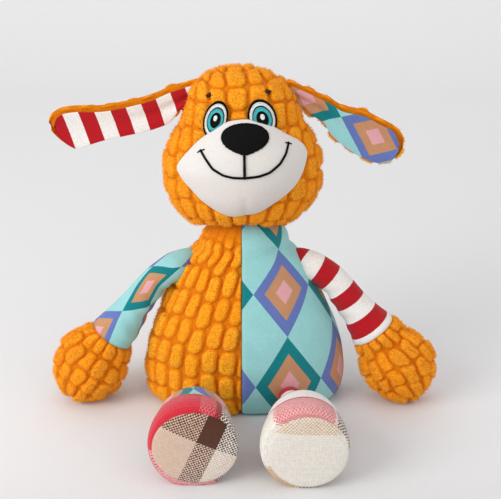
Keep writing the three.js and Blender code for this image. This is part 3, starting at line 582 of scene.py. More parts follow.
def outward_normals(points: Array, ring: bool) -> Array:
    """Unit normals of a grid of points, pointing away from its middle."""
    if ring:
        wide = np.concatenate([points[:, -2:-1], points, points[:, 1:2]], axis=1)
        across = (wide[:, 2:] - wide[:, :-2]) / 2
    else:
        across = np.gradient(points, axis=1)
    along = np.gradient(points, axis=0)
    normal = np.cross(across, along)
    size = np.linalg.norm(normal, axis=2, keepdims=True)
    normal = normal / np.where(size > 1e-12, size, 1.0)
    away = points - points.reshape(-1, 3).mean(axis=0)
    return normal if (normal * away).sum() > 0 else -normal


@dataclass
class Skin:
    """A grid of points in millimetres that becomes one closed piece."""

    points: Array
    weave: Array
    ring: bool = True
    stand: Array | None = None
    sink: Array | None = None
    start: Sequence[float] | None = None
    end: Sequence[float] | None = None

    def faces(self) -> list[list[int]]:
        """Corner lists of all faces; the two end points come after the grid's."""
        rows, columns = self.points.shape[:2]
        base = (np.arange(rows - 1)[:, None] * columns + np.arange(columns - 1)).ravel()
        quads = np.column_stack([base, base + 1, base + columns + 1, base + columns]).tolist()
        first, last = rows * columns, rows * columns + 1
        end_row = (rows - 1) * columns
        for k in range(columns - 1):
            quads.append([first, k + 1, k])
            quads.append([last, end_row + k, end_row + k + 1])
        if not self.ring:
            one = [r * columns for r in range(rows)]
            other = [r * columns + columns - 1 for r in reversed(range(rows))]
            quads.append([first, *one, last, *other])
        return quads

    def with_ends(self, grid: Array) -> Array:
        """A grid's values in one list, with the means of its first and last row at the end."""
        flat = grid.reshape(-1, *grid.shape[2:])
        return np.concatenate([flat, [grid[0].mean(axis=0), grid[-1].mean(axis=0)]])

    def to_object(self, name: str) -> Piece:
        """Makes the mesh object.

        Args:
            name: the piece's name.

        Returns:
            The object, with its cloth map and its out, weave, stand and sink attributes.
        """
        places = self.with_ends(self.points)
        for given, row in ((self.start, -2), (self.end, -1)):
            if given is not None:
                places[row] = given
        mesh = bpy.data.meshes.new(name)
        mesh.from_pydata((places * MM).tolist(), [], self.faces())
        weave = self.with_ends(self.weave)
        corners = np.zeros(len(mesh.loops), int)
        mesh.loops.foreach_get("vertex_index", corners)
        layer = mesh.uv_layers.new(name="cloth")
        layer.data.foreach_set("uv", weave[corners].astype(np.float32).ravel())
        carry(mesh, "out", self.with_ends(outward_normals(self.points, self.ring)))
        carry(mesh, "weave", np.column_stack([weave, np.zeros(len(weave))]))
        for label, grid in (("stand", self.stand), ("sink", self.sink)):
            values = np.zeros(self.points.shape[:2]) if grid is None else grid
            carry(mesh, label, self.with_ends(values))
        return link(name, mesh)

    def closed(self, name: str) -> Piece:
        """Makes the mesh object and closes it."""
        return close_up(self.to_object(name))


def close_up(piece: Piece) -> Piece:
    """Merges a piece's doubled seam, turns its faces outwards and smooths its shading."""
    mesh = piece.data
    work = bmesh.new()
    work.from_mesh(mesh)
    bmesh.ops.remove_doubles(work, verts=work.verts, dist=1e-6)
    bmesh.ops.dissolve_degenerate(work, dist=1e-7, edges=work.edges)
    bmesh.ops.recalc_face_normals(work, faces=work.faces)
    long_faces = [face for face in work.faces if len(face.verts) > 4]
    bmesh.ops.triangulate(work, faces=long_faces)
    work.to_mesh(mesh)
    work.free()
    mesh.shade_smooth()
    return piece


class Bulge:
    """Small moves of a cover, known at scattered places."""

    def __init__(self, places: Array, moves: Array) -> None:
        """Takes the places and the move at each, in millimetres."""
        self.moves = moves
        self.tree = KDTree(len(places))
        for i, place in enumerate(places):
            self.tree.insert(place, i)
        self.tree.balance()

    def apply(self, points: Array) -> Array:
        """Moves points as the cover near them moves.

        Args:
            points: an array of places.

        Returns:
            The moved places, or the same ones where no moves are known.
        """
        if not len(self.moves):
            return points
        flat = points.reshape(-1, 3)
        steps = np.empty_like(flat)
        for i, point in enumerate(flat):
            found = self.tree.find_n(point, 10)
            weight = np.exp(-((np.array([hit[2] for hit in found]) / 4.5) ** 2)) + 1e-9
            steps[i] = weight @ self.moves[[hit[1] for hit in found]] / weight.sum()
        return points + steps.reshape(points.shape)


def lathe(name: str, profile: Rows, centre: Sequence[float], axis: int) -> Piece:
    """A closed piece turned about an axis.

    Args:
        name: the piece's name.
        profile: rows of a place along the axis and a radius.
        centre: where place 0 lies.
        axis: 0, 1 or 2 for X, Y or Z.

    Returns:
        The piece.
    """
    angle = np.linspace(0, TAU, 49)
    grid = []
    for place, radius in profile:
        ring = [radius * np.cos(angle), radius * np.sin(angle)]
        ring.insert(axis, np.full(len(angle), place))
        grid.append(np.column_stack(ring) + np.array(centre))
    points = np.array(grid)
    return Skin(points, np.delete(points, axis, axis=2)).closed(name)


@dataclass
class Stuffing:
    """Finds how a sewn cover bulges over its fill, with a coarse copy of it as cloth."""

    voxel_mm: float = 5.0
    pressure: float = 4.0
    frames: int = 20
    most_mm: float = 1.5

    def settle(self, name: str, points: Array, held: Callable[[Array], Array]) -> Bulge:
        """Blows up a closed form and lets it settle.

        Args:
            name: what is settled, for the log.
            points: rings of the closed form.
            held: how firmly seams and neighbours hold each place, from 0 to 1.
        """
        piece = Skin(points, points[:, :, :2]).closed(f"{name}_form")
        remesh = piece.modifiers.new("remesh", "REMESH")
        remesh.mode = "VOXEL"
        remesh.voxel_size = self.voxel_mm * MM
        graph = bpy.context.evaluated_depsgraph_get()
        coarse = bpy.data.meshes.new_from_object(piece.evaluated_get(graph))
        piece.modifiers.remove(remesh)
        piece.data = coarse
        before = corners_of(coarse) / MM
        firm = held(before)
        group = piece.vertex_groups.new(name="held")
        for i, weight in enumerate(firm):
            group.add([i], float(weight), "REPLACE")
        cloth = piece.modifiers.new("cloth", "CLOTH")
        cloth.point_cache.frame_start = 1
        cloth.point_cache.frame_end = self.frames
        rules = {
            "quality": 6,
            "mass": 0.3,
            "tension_stiffness": 30.0,
            "compression_stiffness": 30.0,
            "bending_stiffness": 0.4,
            "use_pressure": True,
            "uniform_pressure_force": self.pressure,
            "vertex_group_mass": "held",
        }
        for rule, value in rules.items():
            setattr(cloth.settings, rule, value)
        cloth.settings.effector_weights.gravity = 0.0
        for frame_number in range(1, self.frames + 1):
            bpy.context.scene.frame_set(frame_number)
        graph = bpy.context.evaluated_depsgraph_get()
        after = corners_of(bpy.data.meshes.new_from_object(piece.evaluated_get(graph))) / MM
        bpy.data.objects.remove(piece)
        bpy.context.scene.frame_set(1)
        moves = (after - before) * (1 - firm)[:, None]
        size = np.linalg.norm(moves, axis=1, keepdims=True)
        moves = moves * self.most_mm / (self.most_mm + size)
        LOG.info("%s settled: %d places, up to %.1f mm", name, len(before), size.max())
        return Bulge(before, moves)


# Geometry node trees


class GeometryBoard(Board):
    """A geometry tree that takes a mesh and gives it back worked over, in its finish."""

    def __init__(self, name: str, sizes: dict[str, float]) -> None:
        """Builds the tree.

        Args:
            name: the tree's name.
            sizes: its named inputs, with the values that they have at first.
        """
        super().__init__(bpy.data.node_groups.new(name, "GeometryNodeTree"))
        face = self.tree.interface
        face.new_socket("Geometry", in_out="INPUT", socket_type="NodeSocketGeometry")
        for label, size in sizes.items():
            kind = "NodeSocketInt" if label == "Seed" else "NodeSocketFloat"
            face.new_socket(label, in_out="INPUT", socket_type=kind).default_value = size
        face.new_socket("Finish", in_out="INPUT", socket_type="NodeSocketMaterial")
        face.new_socket("Geometry", in_out="OUTPUT", socket_type="NodeSocketGeometry")
        self.given = self.add("NodeGroupInput").outputs
        real = self.add("GeometryNodeRealizeInstances", self.worked())
        dressed = self.add("GeometryNodeSetMaterial", real.outputs[0])
        self.feed(dressed.inputs["Material"], self.given["Finish"])
        self.add("NodeGroupOutput", dressed.outputs[0])

    def worked(self) -> Socket:
        """The geometry that the tree makes."""
        raise NotImplementedError

    def stored(self, name: str, kind: str = "FLOAT") -> Socket:
        """A value that the mesh carries at each point."""
        return self.add("GeometryNodeInputNamedAttribute", name, data_type=kind).outputs[0]

    def scaled(self, value: object, factor: object) -> Socket:
        """A vector times a number."""
        vector = self.vector("SCALE", value)
        self.feed(vector.node.inputs["Scale"], factor)
        return vector

    def instances(self, points: object, shape: object, lay: object, *size: object) -> object:
        """Copies of a shape at points, each turned along a direction and scaled."""
        turn = self.add("FunctionNodeAlignRotationToVector", axis="Z")
        self.feed(turn.inputs["Vector"], lay)
        laid = self.add("GeometryNodeInstanceOnPoints", points)
        self.feed(laid.inputs["Instance"], shape)
        self.feed(laid.inputs["Rotation"], turn.outputs[0])
        self.feed(laid.inputs["Scale"], self.add("ShaderNodeCombineXYZ", *size).outputs[0])
        return laid.outputs[0]


class BlockTree(GeometryBoard):
    """Raises a plush surface in rounded blocks, in columns with a small shift between them."""

    def __init__(self, name: str, width_mm: float, length_mm: float, relief_mm: float) -> None:
        """Builds the tree from a block's width, its length with its groove, and its height."""
        sizes = {
            "Block width": width_mm,
            "Block length": length_mm,
            "Relief": relief_mm,
            "Column gap": 2.2,
            "Row gap": 0.8,
            "Corner": 4.3,
            "Shoulder": 2.3,
            "Column shift": 0.16,
            "Waver": 0.9,
            "Seed": 7,
        }
        super().__init__(name, sizes)

    def chance(self, low: float, high: float, key: object) -> Socket:
        """A random number that is the same wherever the key is the same."""
        node = self.add("FunctionNodeRandomValue", data_type="FLOAT")
        for label, value in (("Min", low), ("Max", high)):
            found = [s for s in node.inputs if s.name == label and s.type == "VALUE"]
            found[0].default_value = value
        self.feed(node.inputs["ID"], key)
        self.feed(node.inputs["Seed"], self.given["Seed"])
        return [s for s in node.outputs if s.type == "VALUE"][0]

    def wavered(self) -> Socket:
        """The place on the cloth, bent a little by soft noise."""
        noise = self.add("ShaderNodeTexNoise", None, None, 1 / (14 * MM), 1.0)
        centred = self.vector("SUBTRACT", noise.outputs["Color"], (0.5, 0.5, 0.5))
        bent = self.scaled(centred, self.math("MULTIPLY", self.given["Waver"], 4.0))
        return self.vector("ADD", self.stored("weave", "FLOAT_VECTOR"), bent)

    def past(self, place: object, cell: object, size: str, gap: str) -> Socket:
        """How far a place lies beyond the flat middle of its block, one way."""
        given = self.given
        centred = self.math("SUBTRACT", self.math("SUBTRACT", place, cell), 0.5)
        away = self.math("MULTIPLY", self.math("ABSOLUTE", centred), given[size])
        half = self.math("MULTIPLY", given[size], 0.5)
        inner = self.math("SUBTRACT", half, self.math("MULTIPLY", given[gap], 0.5))
        return self.math("SUBTRACT", away, self.math("SUBTRACT", inner, given["Corner"]))

    def worked(self) -> Socket:
        """The surface, moved out to its blocks and carrying the height of its pile."""
        given = self.given
        across, along, _ = self.split(self.wavered())
        turns = self.math("DIVIDE", across, given["Block width"])
        column = self.math("FLOOR", turns)
        shift = self.math("MULTIPLY", self.chance(-1.0, 1.0, column), given["Column shift"])
        steps = self.math("ADD", self.math("DIVIDE", along, given["Block length"]), shift)
        row = self.math("FLOOR", steps)
        block = self.math("MULTIPLY_ADD", column, 61.0, row)
        reaches = [
            self.past(turns, column, "Block width", "Column gap"),
            self.past(steps, row, "Block length", "Row gap"),
        ]
        outer = [self.math("MAXIMUM", reach, 0.0) for reach in reaches]
        corner = self.math("SQRT", self.math("ADD", *[self.math("MULTIPLY", o, o) for o in outer]))
        inside = self.math("MINIMUM", self.math("MAXIMUM", *reaches), 0.0)
        edge = self.math("SUBTRACT", self.math("ADD", corner, inside), given["Corner"])
        depth = self.math("DIVIDE", self.math("MULTIPLY", edge, -1.0), given["Shoulder"])
        held = self.math("MINIMUM", self.math("MAXIMUM", depth, 0.0), 1.0)
        left = self.math("SUBTRACT", 1.0, held)
        crown = self.math("SQRT", self.math("SUBTRACT", 1.0, self.math("MULTIPLY", left, left)))
        plump = self.math("MULTIPLY", crown, self.chance(0.72, 1.12, block))
        height = self.math("MULTIPLY", plump, self.stored("stand"))
        raised = self.math("MULTIPLY", self.math("SUBTRACT", height, 1.0), given["Relief"])
        metres = self.math("MULTIPLY", self.math("SUBTRACT", raised, self.stored("sink")), MM)
        moved = self.add("GeometryNodeSetPosition", given["Geometry"])
        offset = self.scaled(self.stored("out", "FLOAT_VECTOR"), metres)
        self.feed(moved.inputs["Offset"], offset)
        kept = self.add("GeometryNodeStoreNamedAttribute", moved.outputs[0], domain="POINT")
        self.feed(kept.inputs["Name"], "pile")
        self.feed([s for s in kept.inputs if s.name == "Value" and s.type == "VALUE"][0], height)
        return kept.outputs[0]


class StitchTree(GeometryBoard):
    """Lays one short thread at each point of a mesh, along the direction that the point carries."""

    def worked(self) -> Socket:
        """A bead for each point, drawn out along its stitch."""
        bead = self.add("GeometryNodeMeshUVSphere", 6, 5, 1.0).outputs[0]
        lay, radius = self.stored("lay", "FLOAT_VECTOR"), self.given["Thread radius"]
        size = (radius, radius, self.stored("reach"))
        return self.instances(self.given["Geometry"], bead, lay, *size)


class FibreTree(GeometryBoard):
    """Stands short fibres on a plush surface, thickest on top of its blocks."""

    def worked(self) -> Socket:
        """Fibres at random places, none close above the floor."""
        given = self.given
        spread = self.add("GeometryNodeDistributePointsOnFaces", given["Geometry"])
        height = self.split(self.add("GeometryNodeInputPosition").outputs[0])[2]
        lifted = self.math("GREATER_THAN", height, FIBRE_FLOOR_MM * MM)
        thick = self.math("MULTIPLY", given["Density"], lifted)
        thick = self.math("MULTIPLY", thick, self.math("POWER", self.stored("pile"), 3.0))
        self.feed(spread.inputs["Density"], thick)
        self.feed(spread.inputs["Seed"], given["Seed"])
        spike = self.add("GeometryNodeMeshCone")
        form = {"Vertices": 3, "Radius Top": 0.0, "Radius Bottom": 1.0, "Depth": 1.0}
        for label, value in form.items():
            self.feed(spike.inputs[label], value)
        stray = self.add("FunctionNodeRandomValue", data_type="FLOAT_VECTOR")
        self.feed(stray.inputs[0], (-0.75, -0.75, -0.75))
        self.feed(stray.inputs[1], (0.75, 0.75, 0.75))
        self.feed(stray.inputs["Seed"], given["Seed"])
        lay = self.vector("ADD", spread.outputs["Normal"], stray.outputs[0])
        size = (given["Radius"], given["Radius"], given["Length"])
        return self.instances(spread.outputs["Points"], spike.outputs["Mesh"], lay, *size)


def run_tree(piece: Piece, board: Board, **inputs: object) -> Piece:
    """Runs a geometry tree on a piece and keeps the result as its plain mesh.

    Args:
        piece: the object, whose mesh is replaced.
        board: the tree.
        inputs: values by socket name, with underscores for spaces.

    Returns:
        The same object.
    """
    modifier = piece.modifiers.new("tree", "NODES")
    modifier.node_group = board.tree
    for socket in board.tree.interface.items_tree:
        key = socket.name.replace(" ", "_").lower()
        if socket.in_out == "INPUT" and key in inputs:
            modifier[socket.identifier] = inputs[key]
    scene_graph = bpy.context.evaluated_depsgraph_get()
    result = bpy.data.meshes.new_from_object(piece.evaluated_get(scene_graph))
    piece.modifiers.remove(modifier)
    piece.data = result
    result.name = piece.name
    return piece


@dataclass
class Workshop:
    """The finishes and node trees that the pieces share."""

    def __post_init__(self) -> None:
        """Makes each finish and tree once."""
        cream, brown, tan = linear("EFE9DF"), linear("552C18"), linear("D8B58C")
        red, rose, pink = linear("D5283A"), linear("E2747D"), linear("E9B7B4")
        pile = {"sheen": 0.18, "sheen_tint": (1.0, 0.7, 0.25), "grain_depth_mm": 0.6, "gloss": 0.1}
        self.finishes = {
            Cloth.CORN: Plush("Corn plush", grain_mm=0.75, **pile).make(),
            Cloth.PRINT: Diamonds("Diamond print fleece", sheen=0.15).make(),
            Cloth.STRIPE: Stripes("Striped knit", sheen=0.12).make(),
            Cloth.WHITE: Plain("White velboa", sheen=0.1, tone=linear("DFDAD6")).make(),
            Cloth.FILL: Plain("Fibre fill", tone=linear("F4F2EE"), grain_mm=2.0).make(),
        }
        threads = {
            Cloth.BLACK_THREAD: ("101010", {"roughness": 0.8, "sheen": 0.0, "gloss": 0.08}),
            Cloth.WHITE_THREAD: ("F4F2EF", {}),
            Cloth.TURQUOISE_THREAD: ("45BEC4", {}),
            Cloth.MAROON_THREAD: ("3A1A10", {"sheen": 0.1}),
            Cloth.ORANGE_THREAD: ("E8941C", {}),
        }
        strands = {"grain_mm": 0.3, "mottle": 0.72, "mottle_mm": 0.6}
        for thread, (tone, other) in threads.items():
            name = thread.value.replace("_", " ").capitalize()
            self.finishes[thread] = Plain(name, tone=linear(tone), **strands, **other).make()
        # Tones lighter than the cloth's: painted light that makes up for the shade on the thin
        # fibres, over the same painted groove shade and crown highlight.
        bright = {"shaded_groove": linear("E8860C"), "side": linear("FFA821"), "crown": linear("FFBA32")}
        self.loose_pile = Plush("Loose pile", grain_depth_mm=0.0, sheen=0.1, **bright).make()
        self.ear_stripes = Stripes("Ear stripes", repeat_mm=21.2, slant=-0.32, sheen=0.12).make()
        self.sole = Check(
            "Brown check",
            warps=((0, linear("DCBDA6")), (-1.5, brown), (11.0, cream)),
            wefts=((0, linear("E0C6B4")), (5.5, brown)),
            turn_deg=-24.0,
        ).make()
        self.pale_sole = Check(
            "Cream check",
            warps=((0, cream), (90.0, tan)),
            wefts=((0, cream), (13.0, tan)),
            turn_deg=-2.0,
        ).make()
        self.bands = {
            Side.RIGHT: RimCheck(
                "Red and brown band",
                warps=((0, cream), (22.0, red), (98.0, rose), (140.0, cream)),
                wefts=((0, brown), (26.0, rose), (36.0, red), (84.0, pink), (138.0, brown)),
            ).make(),
            Side.LEFT: RimCheck(
                "Rose and cream band",
                warps=((0, cream), (22.0, rose), (62.0, cream), (94.0, tan), (118.0, cream)),
                wefts=((0, brown), (20.0, pink), (60.0, cream), (96.0, tan), (120.0, brown)),
            ).make(),
        }
        self.blocks = {
            "body": BlockTree("Body blocks", 12.3, 17.9, 3.4),
            "head": BlockTree("Head blocks", 13.3, 16.0, 2.7),
            "paw": BlockTree("Paw blocks", PAW_COLUMN_MM, 14.5, 3.0),
            "ear": BlockTree("Ear blocks", EAR_COLUMN_MM, 12.6, 2.2),
        }
        self.stitches = StitchTree("Stitches", {"Thread radius": 0.0, "Seed": 0})
        fibre = {"Density": 0.0, "Length": 0.0, "Radius": 0.0, "Seed": 0}
        self.fibres = FibreTree("Fibres", fibre)

    def raise_blocks(self, piece: Piece, tree: str) -> Piece:
        """Raises a plush piece in blocks and closes it."""
        paw = {"waver": 1.9, "column_gap": 1.7, "corner": 3.6}
        head = {"waver": 1.1, "column_gap": 1.8, "corner": 3.8}
        ear = {"waver": 1.2, "row_gap": 1.8}
        changes = {"paw": paw, "head": head, "ear": ear}.get(tree, {"waver": 1.1})
        run_tree(piece, self.blocks[tree], finish=self.finishes[Cloth.CORN], **changes)
        return close_up(piece)

    def fuzz(self, piece: Piece, body: str, per_mm2: float = 1.0) -> None:
        """Stands loose fibres on a plush piece, as a piece of their own."""
        loose = link(f"{piece.name}_fibres", piece.data.copy())
        sizes = {"density": per_mm2 / MM**2, "length": 1.7 * MM, "radius": 0.15 * MM}
        run_tree(loose, self.fibres, seed=3, finish=self.loose_pile, **sizes)
        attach(loose, body)
        LOG.info("%s: %d faces", loose.name, len(loose.data.polygons))

    def stitch(
        self,
        name: str,
        body: str,
        places: Array,
        lays: Array,
        half: float,
        thread: Cloth,
        radius: float = 0.2,
    ) -> Piece:
        """Sews a run of stitches.

        Args:
            name: the run's name.
            body: the body that it rides on.
            places: the middle of each stitch, in millimetres.
            lays: the direction of each stitch.
            half: half the length of each stitch, in millimetres.
            thread: which thread.
            radius: the thread's radius, in millimetres.

        Returns:
            The run as one mesh object.
        """
        mesh = bpy.data.meshes.new(name)
        mesh.from_pydata((np.asarray(places) * MM).tolist(), [], [])
        carry(mesh, "lay", np.asarray(lays))
        carry(mesh, "reach", np.full(len(places), half * MM))
        piece = link(name, mesh)
        finish = self.finishes[thread]
        run_tree(piece, self.stitches, thread_radius=radius * MM, finish=finish)
        piece.data.shade_smooth()
        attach(piece, body)
        return piece

    def dress(
        self,
        piece: Piece,
        body: str,
        cloth: Cloth,
        nodes: Sequence[str] = (),
        fill: float | None = 0.9,
        material: bpy.types.Material | None = None,
    ) -> Piece:
        """Gives a piece its finish and its body, and hides the frame's nodes that it stands for.

        Args:
            piece: the finished piece.
            body: the body that it rides on.
            cloth: its cloth or thread.
            nodes: the frame's nodes that it replaces.
            fill: how full a padded piece is, or None for one that isn't padded; not used.
            material: a finish of its own in place of the cloth's.

        Returns:
            The piece.
        """
        piece.data.materials.clear()
        piece.data.materials.append(material or self.finishes[cloth])
        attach(piece, body)
        if nodes:
            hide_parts(*nodes)
        LOG.info("%s on %s: %d faces", piece.name, body, len(piece.data.polygons))
        return piece


# Torso

TORSO_SHARES = (
    (0, 0.86, 0.81, 0.84), (0.022, 0.935, 0.895, 0.91), (0.071, 0.982, 0.947, 0.953),
    (0.17, 1, 0.99, 0.988), (0.32, 0.975, 1, 1), (0.48, 0.903, 0.962, 0.96),
    (0.62, 0.806, 0.885, 0.882), (0.75, 0.711, 0.798, 0.814), (0.84, 0.641, 0.734, 0.767),
    (0.91, 0.577, 0.698, 0.744), (0.964, 0.507, 0.672, 0.728), (1, 0.4352, 0.6574, 0.7186),
)


@dataclass
class Torso:
    """The seated body: a plush half and a printed half, sewn together front and back."""

    shop: Workshop
    height: float = 112.0
    half_width: float = 71.0
    front: float = 47.0
    back: float = 43.0
    exponent: float = 2.15
    seam_x: float = -1.5
    neck_radius: float = 30.9
    neck_rise: float = 27.0
    row_start: float = 1.4
    gather: float = 0.65

    def ring_row(self, z: float) -> RingRow:
        """The torso's ring at a height."""
        if z > self.height:
            r = math.sqrt(self.neck_radius**2 - (z - self.height) ** 2)
            return RingRow((0, 0, z), r, r, r, r, 2.0)
        width, front, back = eased(TORSO_SHARES, np.array([z / self.height]))[0]
        square = 2.0 + (self.exponent - 2.0) * min(1.0, (self.height - z) / 12)
        x = self.half_width * width
        return RingRow((0, 0, z), x, x, self.front * front, self.back * back, square)

    def half(self, sign: int, columns: int, rows: int, seat_rows: int = 14) -> Skin:
        """One half of the torso as a grid, with the seat below and the neck on top."""
        dense = np.linspace(0, self.height + self.neck_rise, 400)
        fronts = [self.ring_row(z).front for z in dense]
        index, length = even_places(np.column_stack([fronts, dense]), rows)
        heights = at_index(dense, index)
        climbed = np.linspace(0, length, rows)
        grid, weave = [], []
        reference = self.ring_row(0.4 * self.height).half(0, self.seam_x, sign, 9)[1]
        for z, climb in zip(heights, climbed):
            line, arc = self.ring_row(z).half(0, self.seam_x, sign, columns)
            walked = np.linspace(0, arc, columns)
            if sign < 0:
                side = np.interp(0, line[:, 1] * np.sign(line[-1, 1]), walked)
                walked = (walked - side) / (arc / reference) ** self.gather
            grid.append(line)
            weave.append(np.column_stack([walked, np.full(columns, climb + self.row_start)]))
        grid, weave = np.array(grid), np.array(weave)
        seat, seat_weave = [], []
        for share in np.linspace(0.08, 1, seat_rows, endpoint=False):
            ring = grid[0].copy()
            ring[:, 0] = self.seam_x + (ring[:, 0] - self.seam_x) * share
            ring[:, 1] *= share
            seat.append(ring)
            seat_weave.append(weave[0] - (0, (1 - share) * self.half_width))
        points = np.concatenate([np.array(seat), grid])
        full_weave = np.concatenate([np.array(seat_weave), weave])
        skin = Skin(points, full_weave, ring=False)
        skin.start = (self.seam_x, 0, 0)
        skin.end = (self.seam_x, 0, self.height + self.neck_rise)
        column = np.linspace(0, 1, columns)
        near = share_of(np.minimum(column, 1 - column) * self.half_width)
        skin.stand = np.broadcast_to(domed(near), points.shape[:2]).copy()
        skin.stand[:seat_rows] *= np.linspace(0.1, 0.6, seat_rows)[:, None]
        skin.stand[seat_rows:] *= np.clip((126 - heights) / 8, 0.2, 1)[:, None]
        return skin

    def settled(self) -> Bulge:
        """How the cover bulges between its seams, the neck and the floor."""
        heights = np.linspace(0.5, self.height + self.neck_rise, 60)
        points = np.array([self.ring_row(z).outline(0, 121) for z in heights])

        def held(places: Array) -> Array:
            """Firm along the seam, at the neck, on the floor and at the armholes."""
            seam = 1 - np.abs(places[:, 0] - self.seam_x) / 5
            ends = np.maximum(1 - places[:, 2] / 10, (places[:, 2] - 98) / 12)
            arms = 1 - (np.linalg.norm(np.abs(places) - (44, 7, 96), axis=1) - 12) / 8
            return firmest(seam, ends, arms)

        return Stuffing().settle("torso", points, held)

    def build(self) -> None:
        """Makes both halves and the closing stitches."""
        bulge = self.settled()
        plush = self.half(-1, 190, 130)
        plush.points = bulge.apply(plush.points)
        piece = self.shop.raise_blocks(plush.to_object("body_plush_half"), "body")
        flatten_on_floor(piece)
        nodes = ["body_plush_cover", "body_stuffing", "squeaker_backing_stuffing"]
        self.shop.dress(piece, "torso", Cloth.CORN, nodes)
        self.shop.fuzz(piece, "torso", 0.9)
        printed = self.half(1, 120, 90)
        printed.points = bulge.apply(printed.points)
        normals = outward_normals(printed.points, False)
        dip = (1 - printed.stand) * 1.3 + 0.4
        printed.points = printed.points - normals * dip[:, :, None]
        printed.weave = self.print_place(printed.weave)
        piece = printed.closed("body_print_half")
        flatten_on_floor(piece)
        self.shop.dress(piece, "torso", Cloth.PRINT, ["body_print_cover"])
        self.closing_stitches()

    def print_place(self, weave: Array) -> Array:
        """Places on the print, whose diamonds widen and lean outwards towards the seat."""
        across, climb = weave[..., 0], weave[..., 1] - self.row_start
        down = 92.2 - climb
        middle = 29 + 0.06 * down
        width = 42.9 + 0.07 * down
        turns = 3.4e-5 * down**2 - 0.0178 * down
        return np.stack([PRINT_MM[0] * (across - middle) / width, PRINT_MM[1] * turns], axis=-1)

    def closing_stitches(self) -> None:
        """Ladder of hand stitches where the back seam was closed."""
        places, lays = [], []
        for i in range(8):
            z = 36.5 + 5 * i
            ring = self.ring_row(z)
            y = ring.back * (1 - (1.5 / ring.left) ** self.exponent) ** (1 / self.exponent)
            places.append((self.seam_x, y + 0.3, z))
            lays.append((5.2 if i % 2 else -5.2, 0, 5.0))
        lays = np.array(lays) / np.linalg.norm(lays, axis=1)[:, None]
        name, thread = "back_closing_stitches", Cloth.ORANGE_THREAD
        piece = self.shop.stitch(name, "torso", places, lays, 3.5, thread, 0.45)
        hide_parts("back_closing_thread")


# Head

HEAD_SHARES = (
    (0, 0.611, 0.727, 0.74), (0.041, 0.66, 0.745, 0.765), (0.113, 0.787, 0.795, 0.837),
    (0.213, 0.926, 0.909, 0.93), (0.33, 1, 0.98, 0.98), (0.45, 1, 1, 1),
    (0.56, 0.94, 0.965, 0.98), (0.64, 0.84, 0.9, 0.94), (0.71, 0.745, 0.841, 0.895),
    (0.81, 0.685, 0.755, 0.82), (0.895, 0.575, 0.625, 0.675), (0.955, 0.41, 0.46, 0.5),
    (0.99, 0.2, 0.23, 0.25), (0.9975, 0.1, 0.115, 0.125), (1, 0, 0, 0),
)
MUZZLE_SHARES = (
    (-1, 0.02), (-0.94, -0.22), (-0.78, -0.44), (-0.6, -0.67), (-0.34, -0.9), (-0.14, -0.98),
    (0.05, -0.94), (0.25, -0.89), (0.48, -0.7), (0.66, -0.54), (0.82, -0.35), (0.93, -0.1),
    (1, 0.21), (0.965, 0.38), (0.85, 0.53), (0.65, 0.69), (0.42, 0.88), (0.17, 0.98),
    (-0.03, 0.99), (-0.27, 0.92), (-0.54, 0.68), (-0.74, 0.45),
)


